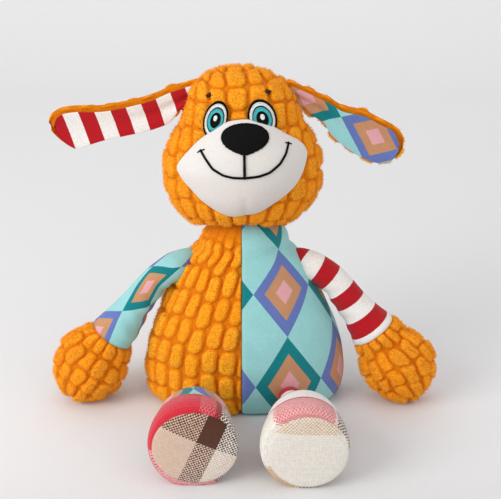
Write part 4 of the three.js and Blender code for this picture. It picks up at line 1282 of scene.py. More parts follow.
@dataclass
class Head:
    """The head: a front and a back of plush over one stuffed form, open below for the neck."""

    shop: Workshop
    rim: float = 119.5
    height: float = 112.8
    half_width: float = 52.6
    front: float = 44.0
    back: float = 43.0
    centre_x: float = -1.0
    seam_y: float = -3.0
    exponent: float = 2.2
    neck_z: float = 112.0
    hollow: float = 31.4
    column_x: float = -2.6
    column_width: float = 13.3
    row_start: float = 0.9
    chin_z: float = 124.5
    chin_slope: float = 0.231
    muzzle_z: float = 173.5
    muzzle_half: tuple[float, float] = (41.0, 31.0)
    muzzle_bulge: float = 9.0
    muzzle_edge: float = 0.9

    def ring_row(self, z: float) -> RingRow:
        """The head's ring at a height."""
        share = min(max((z - self.rim) / self.height, 0.0), 1.0)
        width, front, back = eased(HEAD_SHARES, np.array([share]))[0]
        x = max(self.half_width * width, 0.05)
        depths = (max(self.front * front, 0.05), max(self.back * back, 0.05))
        return RingRow((self.centre_x, 0, z), x, x, *depths, self.exponent)

    def face_y(self, x: Array, z: Array) -> Array:
        """How far forward the face lies at places on it."""
        x, z = np.atleast_1d(x), np.atleast_1d(z)
        rows = eased(HEAD_SHARES, share_of((z.ravel() - self.rim) / self.height))
        width = np.maximum(self.half_width * rows[:, 0], 0.05)
        side = share_of(np.abs(x.ravel() - self.centre_x) / width)
        depth = self.front * rows[:, 1] * (1 - side**self.exponent) ** (1 / self.exponent)
        return -depth.reshape(x.shape)

    def muzzle_reach(self, angle: Array) -> Array:
        """Distance from the muzzle's centre to its outline, by direction."""
        loop = np.array([*MUZZLE_SHARES, MUZZLE_SHARES[0]]) * self.muzzle_half
        count = len(MUZZLE_SHARES)
        fine = []
        for i in range(count):
            a, b, c, d = (loop[(i + k) % count] for k in (-1, 0, 1, 2))
            for t in np.linspace(0, 1, 8, endpoint=False):
                steep, deep = 2 * a - 5 * b + 4 * c - d, 3 * b - a - 3 * c + d
                fine.append(0.5 * (2 * b + (c - a) * t + steep * t**2 + deep * t**3))
        fine = np.array(fine)
        angles = np.arctan2(fine[:, 1], fine[:, 0])
        order = np.argsort(angles)
        reaches = np.linalg.norm(fine, axis=1)
        return np.interp(angle, angles[order], reaches[order], period=TAU)

    def muzzle_share(self, x: Array, z: Array) -> Array:
        """0 at the muzzle's centre and 1 on its outline, and more beyond it."""
        dx, dz = np.asarray(x) - self.centre_x, np.asarray(z) - self.muzzle_z
        return np.hypot(dx, dz) / self.muzzle_reach(np.arctan2(dz, dx))

    def muzzle_y(self, x: Array, z: Array) -> Array:
        """How far forward the muzzle's surface lies."""
        share = share_of(self.muzzle_share(x, z))
        swell = self.muzzle_bulge * (1 - share**2.2) ** 0.7
        return self.face_y(x, z) - self.muzzle_edge - swell

    def half(self, sign: int, columns: int, rows: int, hollow_rows: int = 12) -> Skin:
        """The front (-1) or the back (1) of the head as a grid, closed round the neck's hollow."""
        levels = self.rim + 0.9975 * self.height * (1 - np.linspace(1, 0, 400) ** 2)
        reaches = [self.ring_row(z).front for z in levels]
        steps = np.hypot(np.diff(reaches), np.diff(levels))
        climb = np.concatenate([[0.0], np.cumsum(steps)])
        widest = self.ring_row(165.0).half(1, self.seam_y, sign, 9)[1]
        lines, weaves = [], []
        for z, climbed in zip(levels, climb):
            line, arc = self.ring_row(z).half(1, self.seam_y, sign, columns)
            order = np.argsort(line[:, 0])
            walked = np.linspace(0, arc, columns)
            middle = np.interp(self.column_x, line[order, 0], walked[order])
            spread = (arc / widest) ** 0.9 if z < 165 else 1.0
            across = (walked - middle) / spread + self.column_width / 2
            lines.append(line)
            weaves.append(np.column_stack([across, np.full(columns, climbed + self.row_start)]))
        lines, weaves = np.array(lines), np.array(weaves)
        column = np.arange(columns)
        rim = np.full(columns, self.rim)
        for _ in range(4):
            nearest = np.searchsorted(levels, rim).clip(0, len(levels) - 1)
            rim = np.maximum(self.rim, self.chin_z - self.chin_slope * lines[nearest, column, 1])
        start = np.interp(rim, levels, climb)
        wanted = start + np.linspace(0, 1, rows)[:, None] * (climb[-1] - start)
        index = np.interp(wanted, climb, np.arange(len(levels)))
        low = np.floor(index).astype(int).clip(0, len(levels) - 2)
        share = (index - low)[..., None]
        grid = lines[low, column] * (1 - share) + lines[low + 1, column] * share
        weave = weaves[low, column] * (1 - share) + weaves[low + 1, column] * share
        slim = share_of((152 - grid[..., 2]) / 26)
        grid[..., 0] -= np.where(grid[..., 0] > 0, 7.0, 2.0) * slim * grid[..., 0] / 50
        grid[..., 0] -= 3.6 * share_of((grid[..., 2] - 205) / 27) ** 2
        hem = np.interp(grid[0, :, 1], (-34, -3, 32), (9.0, 7.0, 1.0))
        turned = share_of(1 - (wanted - start) / hem)
        tucked = hem * (1 - np.sqrt(1 - turned**2))
        level = grid[..., :2] - np.array([self.centre_x, 0])
        grid[..., :2] -= level / np.linalg.norm(level, axis=2, keepdims=True) * tucked[..., None]
        azimuth = np.arctan2(grid[0, :, 1], grid[0, :, 0])
        lowest = np.arcsin((rim - self.neck_z) / self.hollow)
        inner = []
        for step in np.arange(1, hollow_rows + 1) / hollow_rows:
            lift = math.pi / 2 + (lowest - math.pi / 2) * step
            flat = self.hollow * np.cos(lift)
            high = self.neck_z + self.hollow * np.sin(lift)
            inner.append(np.column_stack([flat * np.cos(azimuth), flat * np.sin(azimuth), high]))
        points = np.concatenate([np.array(inner), grid])
        inner_weave = np.repeat(weave[:1], len(inner), axis=0)
        skin = Skin(points, np.concatenate([inner_weave, weave]), ring=False)
        skin.start = (0, 0, self.neck_z + self.hollow)
        skin.end = (self.centre_x - 3.6, self.seam_y, self.rim + self.height)
        edge = np.minimum(np.linspace(0, 1, columns), np.linspace(1, 0, columns)) * widest
        near = share_of(edge / 2.6)
        seam = 1 - domed(near)
        by_ear = share_of((points[:, :, 2] - 190) / 10) * share_of((236 - points[:, :, 2]) / 8)
        stand = 1 - seam * 0.5 * (1 - by_ear)
        rim_ease = share_of((wanted - start) / 3.0)
        rise = domed(rim_ease)
        stand[: len(inner)] = 0.0
        stand[len(inner) :] *= rise
        sink = np.full(points.shape[:2], -2.4)
        sink[len(inner) :] = -2.0 * (1 - rise)
        skin.stand, skin.sink = stand, sink
        return skin

    def make_room(self, skin: Skin, eyes: Sequence["Eye"]) -> None:
        """Lowers the pile under the muzzle and the embroidery."""
        x, z = skin.points[:, :, 0], skin.points[:, :, 2]
        front = skin.points[:, :, 1] < 0
        covered = front & (z > self.rim) & (skin.points[:, :, 1] < self.face_y(x, z) * 0.8)
        share = self.muzzle_share(x, z)
        beyond = (share - 1) * 34
        near = share_of(beyond / 2.4)
        keep = np.where(covered, domed(near), 1.0)
        skin.stand = skin.stand * keep
        under = share_of(-beyond / 5)
        skin.sink = skin.sink + np.where(covered, under * 1.5, 0.0)
        for eye in eyes:
            away = eye.share(x, z)
            soft = share_of((away - 1) * 8 / 1.6)
            flat = np.where(front, soft, 1.0)
            skin.stand = skin.stand * flat + (1 - flat) * 0.62

    def settled(self) -> Bulge:
        """How the cover bulges behind the face, between the side seam and the rim."""
        heights = np.linspace(self.rim, self.rim + 0.9975 * self.height, 60)
        points = np.array([self.ring_row(z).outline(0, 121) for z in heights])

        def held(places: Array) -> Array:
            """Firm over the face, along the side seam and at the rim."""
            face = (-places[:, 1] - 12) / 12
            seam = 1 - np.abs(places[:, 1] - self.seam_y) / 5
            rim = 1 - (places[:, 2] - self.rim - 14) / 12
            return firmest(face, seam, rim)

        return Stuffing().settle("head", points, held)

    def build(self, eyes: Sequence["Eye"]) -> None:
        """Makes the front and the back."""
        bulge = self.settled()
        for label, sign, columns, nodes in (
            ("front", -1, 190, ["head_front_cover", "head_stuffing"]),
            ("back", 1, 150, ["head_back_cover"]),
        ):
            skin = self.half(sign, columns, 140 if sign < 0 else 110)
            skin.points = bulge.apply(skin.points)
            if sign < 0:
                self.make_room(skin, eyes)
            piece = self.shop.raise_blocks(skin.to_object(f"head_{label}_plush"), "head")
            self.shop.dress(piece, "head", Cloth.CORN, nodes)
            self.shop.fuzz(piece, "head", 1.5 if sign < 0 else 0.8)
        self.muzzle()

    def muzzle(self) -> None:
        """The white padded muzzle, with a faint tuck at the chin."""
        shares = np.sin(np.linspace(0.03, 1, 42) * math.pi / 2)
        angle = np.linspace(-math.pi, math.pi, 97)
        reach = self.muzzle_reach(angle)
        grid = []
        for share in shares:
            x, z = spot((self.centre_x, self.muzzle_z), reach * share, angle)
            y = self.muzzle_y(x, z)
            tuck = np.exp(-(((x - 1.2) / 1.6) ** 2)) * share_of((160 - z) / 12)
            grid.append(np.column_stack([x, y + 0.9 * tuck, z]))
        rim = grid[-1]
        for inward, back in ((0.998, 1.4), (0.985, 2.4), (0.9, 2.6), (0.5, 2.6)):
            x = self.centre_x + (rim[:, 0] - self.centre_x) * inward
            z = self.muzzle_z + (rim[:, 2] - self.muzzle_z) * inward
            grid.append(np.column_stack([x, self.face_y(x, z) - self.muzzle_edge + back, z]))
        points = np.array(grid)
        skin = Skin(points, points[:, :, (0, 2)])
        skin.start = (self.centre_x, self.muzzle_y(self.centre_x, self.muzzle_z)[0], self.muzzle_z)
        piece = skin.closed("muzzle")
        self.shop.dress(piece, "head", Cloth.WHITE, ["muzzle_panel", "muzzle_stuffing"])


# Face


def polar_patch(
    name: str,
    centre: tuple[float, float],
    reach: Callable[[Array], Array],
    surface: Callable[[Array, Array], Array],
    lift: Callable[[Array], Array],
    depth: float,
    rings: int = 10,
    turns: int = 49,
) -> Piece:
    """A padded patch on a surface.

    Args:
        name: the piece's name.
        centre: its middle, across and up, in millimetres.
        reach: distance to its outline by direction.
        surface: how far forward the surface under it lies.
        lift: its height over that surface, by the share from its middle to its outline.
        depth: how far its back lies under its edge.
        rings: rings from the middle to the outline.
        turns: points round each ring.

    Returns:
        The closed patch.
    """
    angle = np.linspace(-math.pi, math.pi, turns)
    grid = []
    front = [(share, share, 0.0) for share in np.linspace(0.06, 1, rings)]
    for share, lifted, back in (*front, (0.99, 1.0, depth), (0.4, 1.0, depth)):
        x, z = spot(centre, reach(angle) * share, angle)
        y = surface(x, z) - lift(np.full_like(x, lifted)) + back
        grid.append(np.column_stack([x, y, z]))
    points = np.array(grid)
    return Skin(points, points[:, :, (0, 2)]).closed(name)


@dataclass
class Eye:
    """One embroidered eye: outline, white, dark ring, iris, pupil and glint, cut by the muzzle."""

    side: Side
    centre: tuple[float, float]
    turn_deg: float
    half_width: float = 8.4
    half_height: float = 11.6

    def oval(self, angle: Array) -> Array:
        """Distance from the eye's centre to its outline, by direction."""
        turned = angle - math.radians(self.turn_deg)
        flat = (np.cos(turned) / self.half_width) ** 2 + (np.sin(turned) / self.half_height) ** 2
        return flat**-0.5

    def share(self, x: Array, z: Array) -> Array:
        """0 at the eye's centre and 1 on its outline, and more beyond it."""
        dx, dz = np.asarray(x) - self.centre[0], np.asarray(z) - self.centre[1]
        return np.hypot(dx, dz) / self.oval(np.arctan2(dz, dx))


@dataclass
class Face:
    """Nose, mouth, eyes and brow tacks, sewn on the head."""

    shop: Workshop
    head: Head
    eyes: tuple[Eye, Eye] = (
        Eye(Side.RIGHT, (-17.4, 203.6), -22.0, 7.2),
        Eye(Side.LEFT, (11.6, 204.6), 24.0, 8.6),
    )

    def clipped(self, eye: Eye, share: float) -> Callable[[Array], Array]:
        """Reach of an eye layer by direction, cut off at the muzzle's edge."""

        def reach(angle: Array) -> Array:
            """Distance to the layer's outline, or to the muzzle if that is nearer."""
            full = eye.oval(angle) * share
            steps = np.linspace(0, 1, 60)[:, None] * full
            x, z = spot(eye.centre, steps, angle)
            free = self.head.muzzle_share(x, z) > 0.985
            count = np.cumprod(free, axis=0).sum(axis=0)
            return np.maximum(steps[np.clip(count - 1, 0, 59), np.arange(len(angle))], 0.15)

        return reach

    def build(self) -> None:
        """Sews the whole face."""
        for eye in self.eyes:
            self.eye(eye)
        self.nose()
        self.mouth()
        self.brows()

    def eye(self, eye: Eye) -> None:
        """The layers of one eye, with satin stitches round their edges."""
        word = eye.side.word
        layers = (
            ("outline", 1.0, 0.75, Cloth.BLACK_THREAD, 0.0),
            ("white", 0.86, 1.15, Cloth.WHITE_THREAD, 0.0),
            ("ring", 0.69, 1.45, Cloth.BLACK_THREAD, 0.0),
            ("iris", 0.62, 1.8, Cloth.TURQUOISE_THREAD, 0.0),
            ("pupil", 0.41, 2.1, Cloth.BLACK_THREAD, 0.0),
            ("glint", 0.16, 2.4, Cloth.WHITE_THREAD, 1.2),
        )
        for label, share, lift, thread, up in layers:
            name, centre = f"{word}_eye_{label}", (eye.centre[0], eye.centre[1] + up)
            reach = self.clipped(eye, share)
            pad = lambda s, lift=lift: lift - 0.35 * s**4
            piece = polar_patch(name, centre, reach, self.head.face_y, pad, 0.9)
            node = [] if label == "ring" else [name]
            self.shop.dress(piece, "head", thread, node, fill=None)
            if label != "glint":
                self.satin(f"{name}_stitches", eye, reach, lift, thread)

    def satin(self, name: str, eye: Eye, reach: Callable, lift: float, thread: Cloth) -> None:
        """Short stitches across the edge of an eye layer."""
        angle = np.linspace(-math.pi, math.pi, 90, endpoint=False)
        rng = np.random.default_rng(5)
        out = reach(angle) - 0.45 + rng.uniform(-0.12, 0.12, len(angle))
        x, z = spot(eye.centre, out, angle)
        y = self.head.face_y(x, z) - lift + 0.12
        lays = np.column_stack([np.cos(angle), np.full_like(angle, 0.12), np.sin(angle)])
        self.shop.stitch(name, "head", np.column_stack([x, y, z]), lays, 0.62, thread, 0.19)

    def nose(self) -> None:
        """The padded satin-stitch nose, with its stitches standing at the edge."""
        centre = (0.9, 194.9)

        def reach(angle: Array) -> Array:
            """Outline of the nose: a wide oval, drawn down to a blunt point."""
            flat = (np.cos(angle) / 14.8) ** 2 + (np.sin(angle) / 7.9) ** 2
            point = np.exp(-(((angle + math.pi / 2) / 0.6) ** 2))
            return flat**-0.5 + 1.3 * point

        pad = lambda s: 0.5 + 2.2 * (1 - s**2.6) ** 0.6
        piece = polar_patch("nose", centre, reach, self.head.muzzle_y, pad, 1.5)
        self.shop.dress(piece, "head", Cloth.BLACK_THREAD, ["nose_pad"], fill=1.0)
        angle = np.linspace(-math.pi, math.pi, 130, endpoint=False)
        rng = np.random.default_rng(11)
        out = reach(angle) - 0.7 + rng.uniform(-0.2, 0.35, len(angle))
        x, z = spot(centre, out, angle)
        y = self.head.muzzle_y(x, z) - 0.75
        lays = np.column_stack([np.cos(angle) * 0.6, np.full_like(angle, 0.25), np.sin(angle)])
        places = np.column_stack([x, y, z])
        self.shop.stitch("nose_edge_stitches", "head", places, lays, 1.0, Cloth.BLACK_THREAD, 0.24)

    def seam_line(
        self, name: str, shares: Rows, node: str | None, half: float, radius: float
    ) -> None:
        """A line of back stitches on the muzzle, twisted like thread."""
        line = np.array(shares) * self.head.muzzle_half
        line = line + np.array([self.head.centre_x, self.head.muzzle_z])
        smooth = at_index(line, np.linspace(0, len(line) - 1, 400))
        for _ in range(60):
            smooth[1:-1] = (smooth[:-2] + smooth[1:-1] * 2 + smooth[2:]) / 4
        index, _ = even_places(smooth, max(int(even_places(smooth, 2)[1] / (half * 0.62)), 4))
        points = at_index(smooth, index)
        y = self.head.muzzle_y(points[:, 0], points[:, 1]) - radius * 0.6
        places = np.column_stack([points[:, 0], y, points[:, 1]])
        steps = np.gradient(places, axis=0)
        lays = steps / np.linalg.norm(steps, axis=1)[:, None]
        lays = lays + np.cross(lays, [0, 1, 0]) * 0.28
        piece = self.shop.stitch(name, "head", places, lays, half, Cloth.BLACK_THREAD, radius)
        if node:
            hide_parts(node)

    def mouth(self) -> None:
        """The smile, its end ticks and the line down from the nose."""
        smile_shares = (
            (-0.62, 0.41), (-0.54, 0.27), (-0.44, 0.11), (-0.28, 0), (-0.13, -0.04),
            (0.04, -0.045), (0.25, -0.02), (0.42, 0.045), (0.57, 0.19), (0.66, 0.36), (0.7, 0.53),
        )
        self.seam_line("smile_line", smile_shares, "mouth_thread", 1.2, 0.8)
        self.seam_line("nose_line", ((0.035, 0.42), (0.04, -0.04)), "philtrum_thread", 1.1, 0.9)
        right_end = ((-0.66, 0.375), (-0.62, 0.41), (-0.575, 0.435))
        left_end = ((0.665, 0.545), (0.7, 0.53), (0.735, 0.51))
        self.seam_line("smile_end_right", right_end, None, 0.9, 0.5)
        self.seam_line("smile_end_left", left_end, None, 0.9, 0.5)

    def brows(self) -> None:
        """A dark tack of a few threads over each eye."""
        for side, x, z in ((Side.RIGHT, -21.6, 217.2), (Side.LEFT, 15.1, 219.5)):
            lean = -side.value * math.radians(28)
            spread = np.linspace(-1, 1, 5)
            places, lays = [], []
            for k in spread:
                px, pz = x - math.sin(lean) * k * 0.8, z + math.cos(lean) * k * 0.8
                places.append((px, float(self.head.face_y(px, pz)[0]) - 0.1, pz))
                lays.append((math.cos(lean), 0.15 * k, math.sin(lean) + 0.1 * k))
            name = f"{side.word}_brow_stitches"
            piece = self.shop.stitch(name, "head", places, lays, 2.1, Cloth.MAROON_THREAD, 0.38)
            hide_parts(f"{side.word}_brow_tack")


# Ears

EAR_SHARES = {
    Side.RIGHT: (
        (0, 0, 0.113, 0.42), (0.15, 0.08, 0.18, 0.6), (0.31, 0.22, 0.316, 0.72),
        (0.49, 0.32, 0.48, 0.8), (0.67, 0.38, 0.63, 0.87), (0.79, 0.38, 0.745, 0.95),
        (0.9, 0.41, 0.81, 1), (0.975, 0.5, 0.905, 0.93), (1, 0.6, 0.98, 0.77),
    ),
    Side.LEFT: (
        (0, 0, 0.147, 0.33), (0.092, 0.04, 0.203, 0.42), (0.212, 0.11, 0.304, 0.5),
        (0.341, 0.18, 0.375, 0.65), (0.47, 0.28, 0.5, 0.8), (0.64, 0.33, 0.64, 0.92),
        (0.79, 0.43, 0.79, 0.99), (0.94, 0.54, 0.92, 0.96), (1, 0.66, 0.985, 0.87),
    ),
}


@dataclass
class Ear:
    """One floppy ear: a plush back and a cloth lining sewn over its front."""

    shop: Workshop
    side: Side
    reach: float
    drop: float
    hinge_x: float
    hinge_z: float = 213.5
    seam_y: float = -3.0
    root_half: float = 11.0
    slope_deg: float = 58.7
    back_half: float = 2.3
    rooted: float = 4.0
    rim: tuple[float, float] = (1.3, 0.3)
    inset: float = 4.7

    def edges(self, count: int) -> tuple[Array, Array]:
        """Points along the ear's upper and lower edge, from its root to its tip."""
        sign, slope = self.side.value, math.radians(self.slope_deg)
        axis = np.array([-sign * math.cos(slope), math.sin(slope)])
        hinge = np.array([self.hinge_x, self.hinge_z])
        top, bottom = hinge + axis * self.root_half, hinge - axis * self.root_half
        rows = np.array(EAR_SHARES[self.side])
        upper = top + rows[:, :2] * np.array([sign * self.reach, -self.drop])
        lower = top + rows[:, 2:] * np.array([sign * self.reach, -self.drop])
        upper[0], lower[0] = top, bottom
        place = np.linspace(0, 1, len(rows))
        table = np.column_stack([place, upper, lower])
        fine = eased(table, np.linspace(0, 1, 200))
        middle = (fine[:, :2] + fine[:, 2:]) / 2
        index, _ = even_places(middle, count)
        values = at_index(fine, index)
        return values[:, :2], values[:, 2:]

    def fold(self, along: Array, across: Array) -> Array:
        """How far the ear bends forward: a soft fold from the root, and a curled edge."""
        fade = share_of(1 - along / 0.62)
        crease = 2.4 * fade * np.exp(-(((across + 0.1) / 0.33) ** 2))
        curl = 1.6 * across**2 * share_of(along * 3)
        return crease - curl

    def ring(self, grow: Sequence[float], thickness: float, y: float, columns: int) -> Array:
        """Rings across the ear as a grid.

        Args:
            grow: how far the upper and the lower edge lie outside the outline.
            thickness: half the thickness.
            y: how far back the middle of the rings lies from the head's seam.
            columns: points round each ring.

        Returns:
            The grid of points.
        """
        upper, lower = self.edges(64)
        grid = []
        angle = np.linspace(0, TAU, columns)
        for i, (a, b) in enumerate(zip(upper, lower)):
            centre, span = (a + b) / 2, a - b
            length = np.linalg.norm(span)
            unit = span / length
            ends = 1 - max(0.0, (i - 54) / 9.5) ** 2.6
            thin = thickness * max(ends, 0.1) ** 0.5
            up = np.where(np.cos(angle) > 0, length / 2 + grow[0], length / 2 + grow[1])
            up = up * (0.55 + 0.45 * max(ends, 0.0) ** 0.5 if i > 54 else 1.0)
            place = np.sign(np.cos(angle)) * np.abs(np.cos(angle)) ** 0.8
            x = centre[0] + unit[0] * place * up
            z = centre[1] + unit[1] * place * up
            bend = self.fold(np.full(columns, i / 63), place)
            deep = self.seam_y + y + thin * np.sign(np.sin(angle)) * np.abs(np.sin(angle)) ** 0.8
            grid.append(np.column_stack([x, deep + bend, z]))
        slope = math.radians(self.slope_deg)
        inward = np.array([-self.side.value * math.sin(slope), 0, -math.cos(slope)])
        roots = []
        for step in (1.0, 0.66, 0.33):
            roots.append(grid[0] * 0.9 + grid[0].mean(axis=0) * 0.1 + inward * step * self.rooted)
        return np.array([*roots, *grid])

    def build(self) -> None:
        """Makes the plush back and the lining."""
        word = self.side.word
        points = self.ring(self.rim, self.back_half, 0.9, 129)
        across = walk(points, 1)
        period = EAR_COLUMN_MM * np.maximum(np.round(across[30, -1] / EAR_COLUMN_MM), 1)
        across = across / across[:, -1:] * period
        along = walk(points.mean(axis=1))
        weave = np.dstack([across, np.broadcast_to(along[:, None], across.shape)])
        skin = Skin(points, weave)
        behind = share_of((np.sin(np.linspace(0, TAU, 129)) + 0.75) / 0.3)
        skin.stand = share_of(along / 4)[:, None] * behind[None, :]
        skin.sink = np.full(across.shape, -1.5)
        piece = self.shop.raise_blocks(skin.to_object(f"{word}_ear_plush"), "ear")
        self.shop.dress(piece, f"{word}_ear", Cloth.CORN, [f"{word}_ear_back"], fill=0.4)
        self.shop.fuzz(piece, f"{word}_ear", 1.6)
        self.lining()

    def lining(self) -> None:
        """The cloth lining, gently padded, inside the plush rim."""
        word, sign = self.side.word, self.side.value
        points = self.ring((self.rim[0] - self.inset, self.rim[1] + 0.1), 1.1, -1.9, 65)
        shrink = share_of((np.arange(len(points)) - 59) / 7)[:, None]
        points[:, :, 0] -= sign * 2.6 * shrink
        if self.side is Side.RIGHT:
            x, z = points[:, :, 0] - self.hinge_x, points[:, :, 2] - self.hinge_z
            weave = np.dstack([z, sign * x])
            cloth, finish = Cloth.STRIPE, self.shop.ear_stripes
        else:
            dx, dz = points[:, :, 0] - 85.2, points[:, :, 2] - 186.7
            along = (0.97 * dx - 0.24 * dz) / 0.961
            across = (0.868 * dz + 0.496 * dx) / 0.961
            weave = np.dstack([across * 0.95, along * 1.15])
            cloth, finish = Cloth.PRINT, None
        piece = Skin(points, weave).closed(f"{word}_ear_cloth")
        nodes = [f"{word}_ear_lining"]
        self.shop.dress(piece, f"{word}_ear", cloth, nodes, fill=0.2, material=finish)


# Limbs


@dataclass
class Run:
    """A limb's centre line: stations of a place, a centre and two half sizes."""

    stations: list[tuple[float, Array, float, float]]

    def sample(self, places: Array) -> tuple[Array, Array]:
        """Centres and half sizes at places along the limb."""
        table = [(p, *centre, wide, thick) for p, centre, wide, thick in self.stations]
        values = eased(table, places)
        return values[:, :3], values[:, 3:]

    def grid(self, places: Array, side_way: Array, columns: int) -> tuple[Array, Array, Array]:
        """Rings round the centre line.

        Args:
            places: where the rings lie along the limb.
            side_way: the direction that the rings' first axis keeps to.
            columns: points round each ring, the last on the first.

        Returns:
            The points, the distance along the limb and the girth at each ring.
        """
        centres, sizes = self.sample(places)
        steps = np.gradient(centres, axis=0)
        ahead = steps / np.linalg.norm(steps, axis=1)[:, None]
        deep = np.cross(ahead, side_way)
        deep /= np.linalg.norm(deep, axis=1)[:, None]
        across = np.cross(deep, ahead)
        angle = np.linspace(0, TAU, columns)
        points = (
            centres[:, None]
            + across[:, None] * np.cos(angle)[None, :, None] * sizes[:, None, 1:]
            + deep[:, None] * np.sin(angle)[None, :, None] * sizes[:, None, :1]
        )
        walked = walk(centres)
        girth = np.linalg.norm(np.diff(points, axis=1), axis=2).sum(axis=1)
        return points, walked, girth


def clear_of_torso(points: Array, torso: Torso, root: Array, sign: int) -> Array:
    """Moves a grid's points out of the torso, at each end of the arm's swing as well."""
    flat = points.reshape(-1, 3).copy()
    for degrees in SWINGS_DEG:
        turn = math.radians(-degrees)
        y, z = flat[:, 1] - root[1], flat[:, 2] - root[2]
        ty = y * math.cos(turn) - z * math.sin(turn) + root[1]
        tz = y * math.sin(turn) + z * math.cos(turn) + root[2]
        inside = (tz > 0) & (tz < torso.height)
        rows = eased(TORSO_SHARES, share_of(tz / torso.height))
        width = torso.half_width * rows[:, 0] + 0.6
        depth = np.where(ty < 0, torso.front * rows[:, 1], torso.back * rows[:, 2]) + 0.6
        side = share_of(np.abs(ty) / depth)
        edge = width * (1 - side**torso.exponent) ** (1 / torso.exponent)
        wanted = np.where(inside, edge, -1e3)
        from_root = np.linalg.norm(flat - root, axis=1)
        ease = share_of((from_root - 9.0) / 6.0)
        short = np.maximum(wanted - flat[:, 0] * sign, 0.0) * ease
        flat[:, 0] += sign * short
    return flat.reshape(points.shape)


RIGHT_SLEEVE_SHARES = (
    (0.12, 0.034, 0.37), (0.29, 0.034, 0.42), (0.42, 0.028, 0.51), (0.545, 0.025, 0.62),
)
LEFT_SLEEVE_SHARES = (
    (0.12, 0.034, 0.39), (0.29, 0.034, 0.42), (0.42, 0.028, 0.53), (0.51, 0.025, 0.65),
)


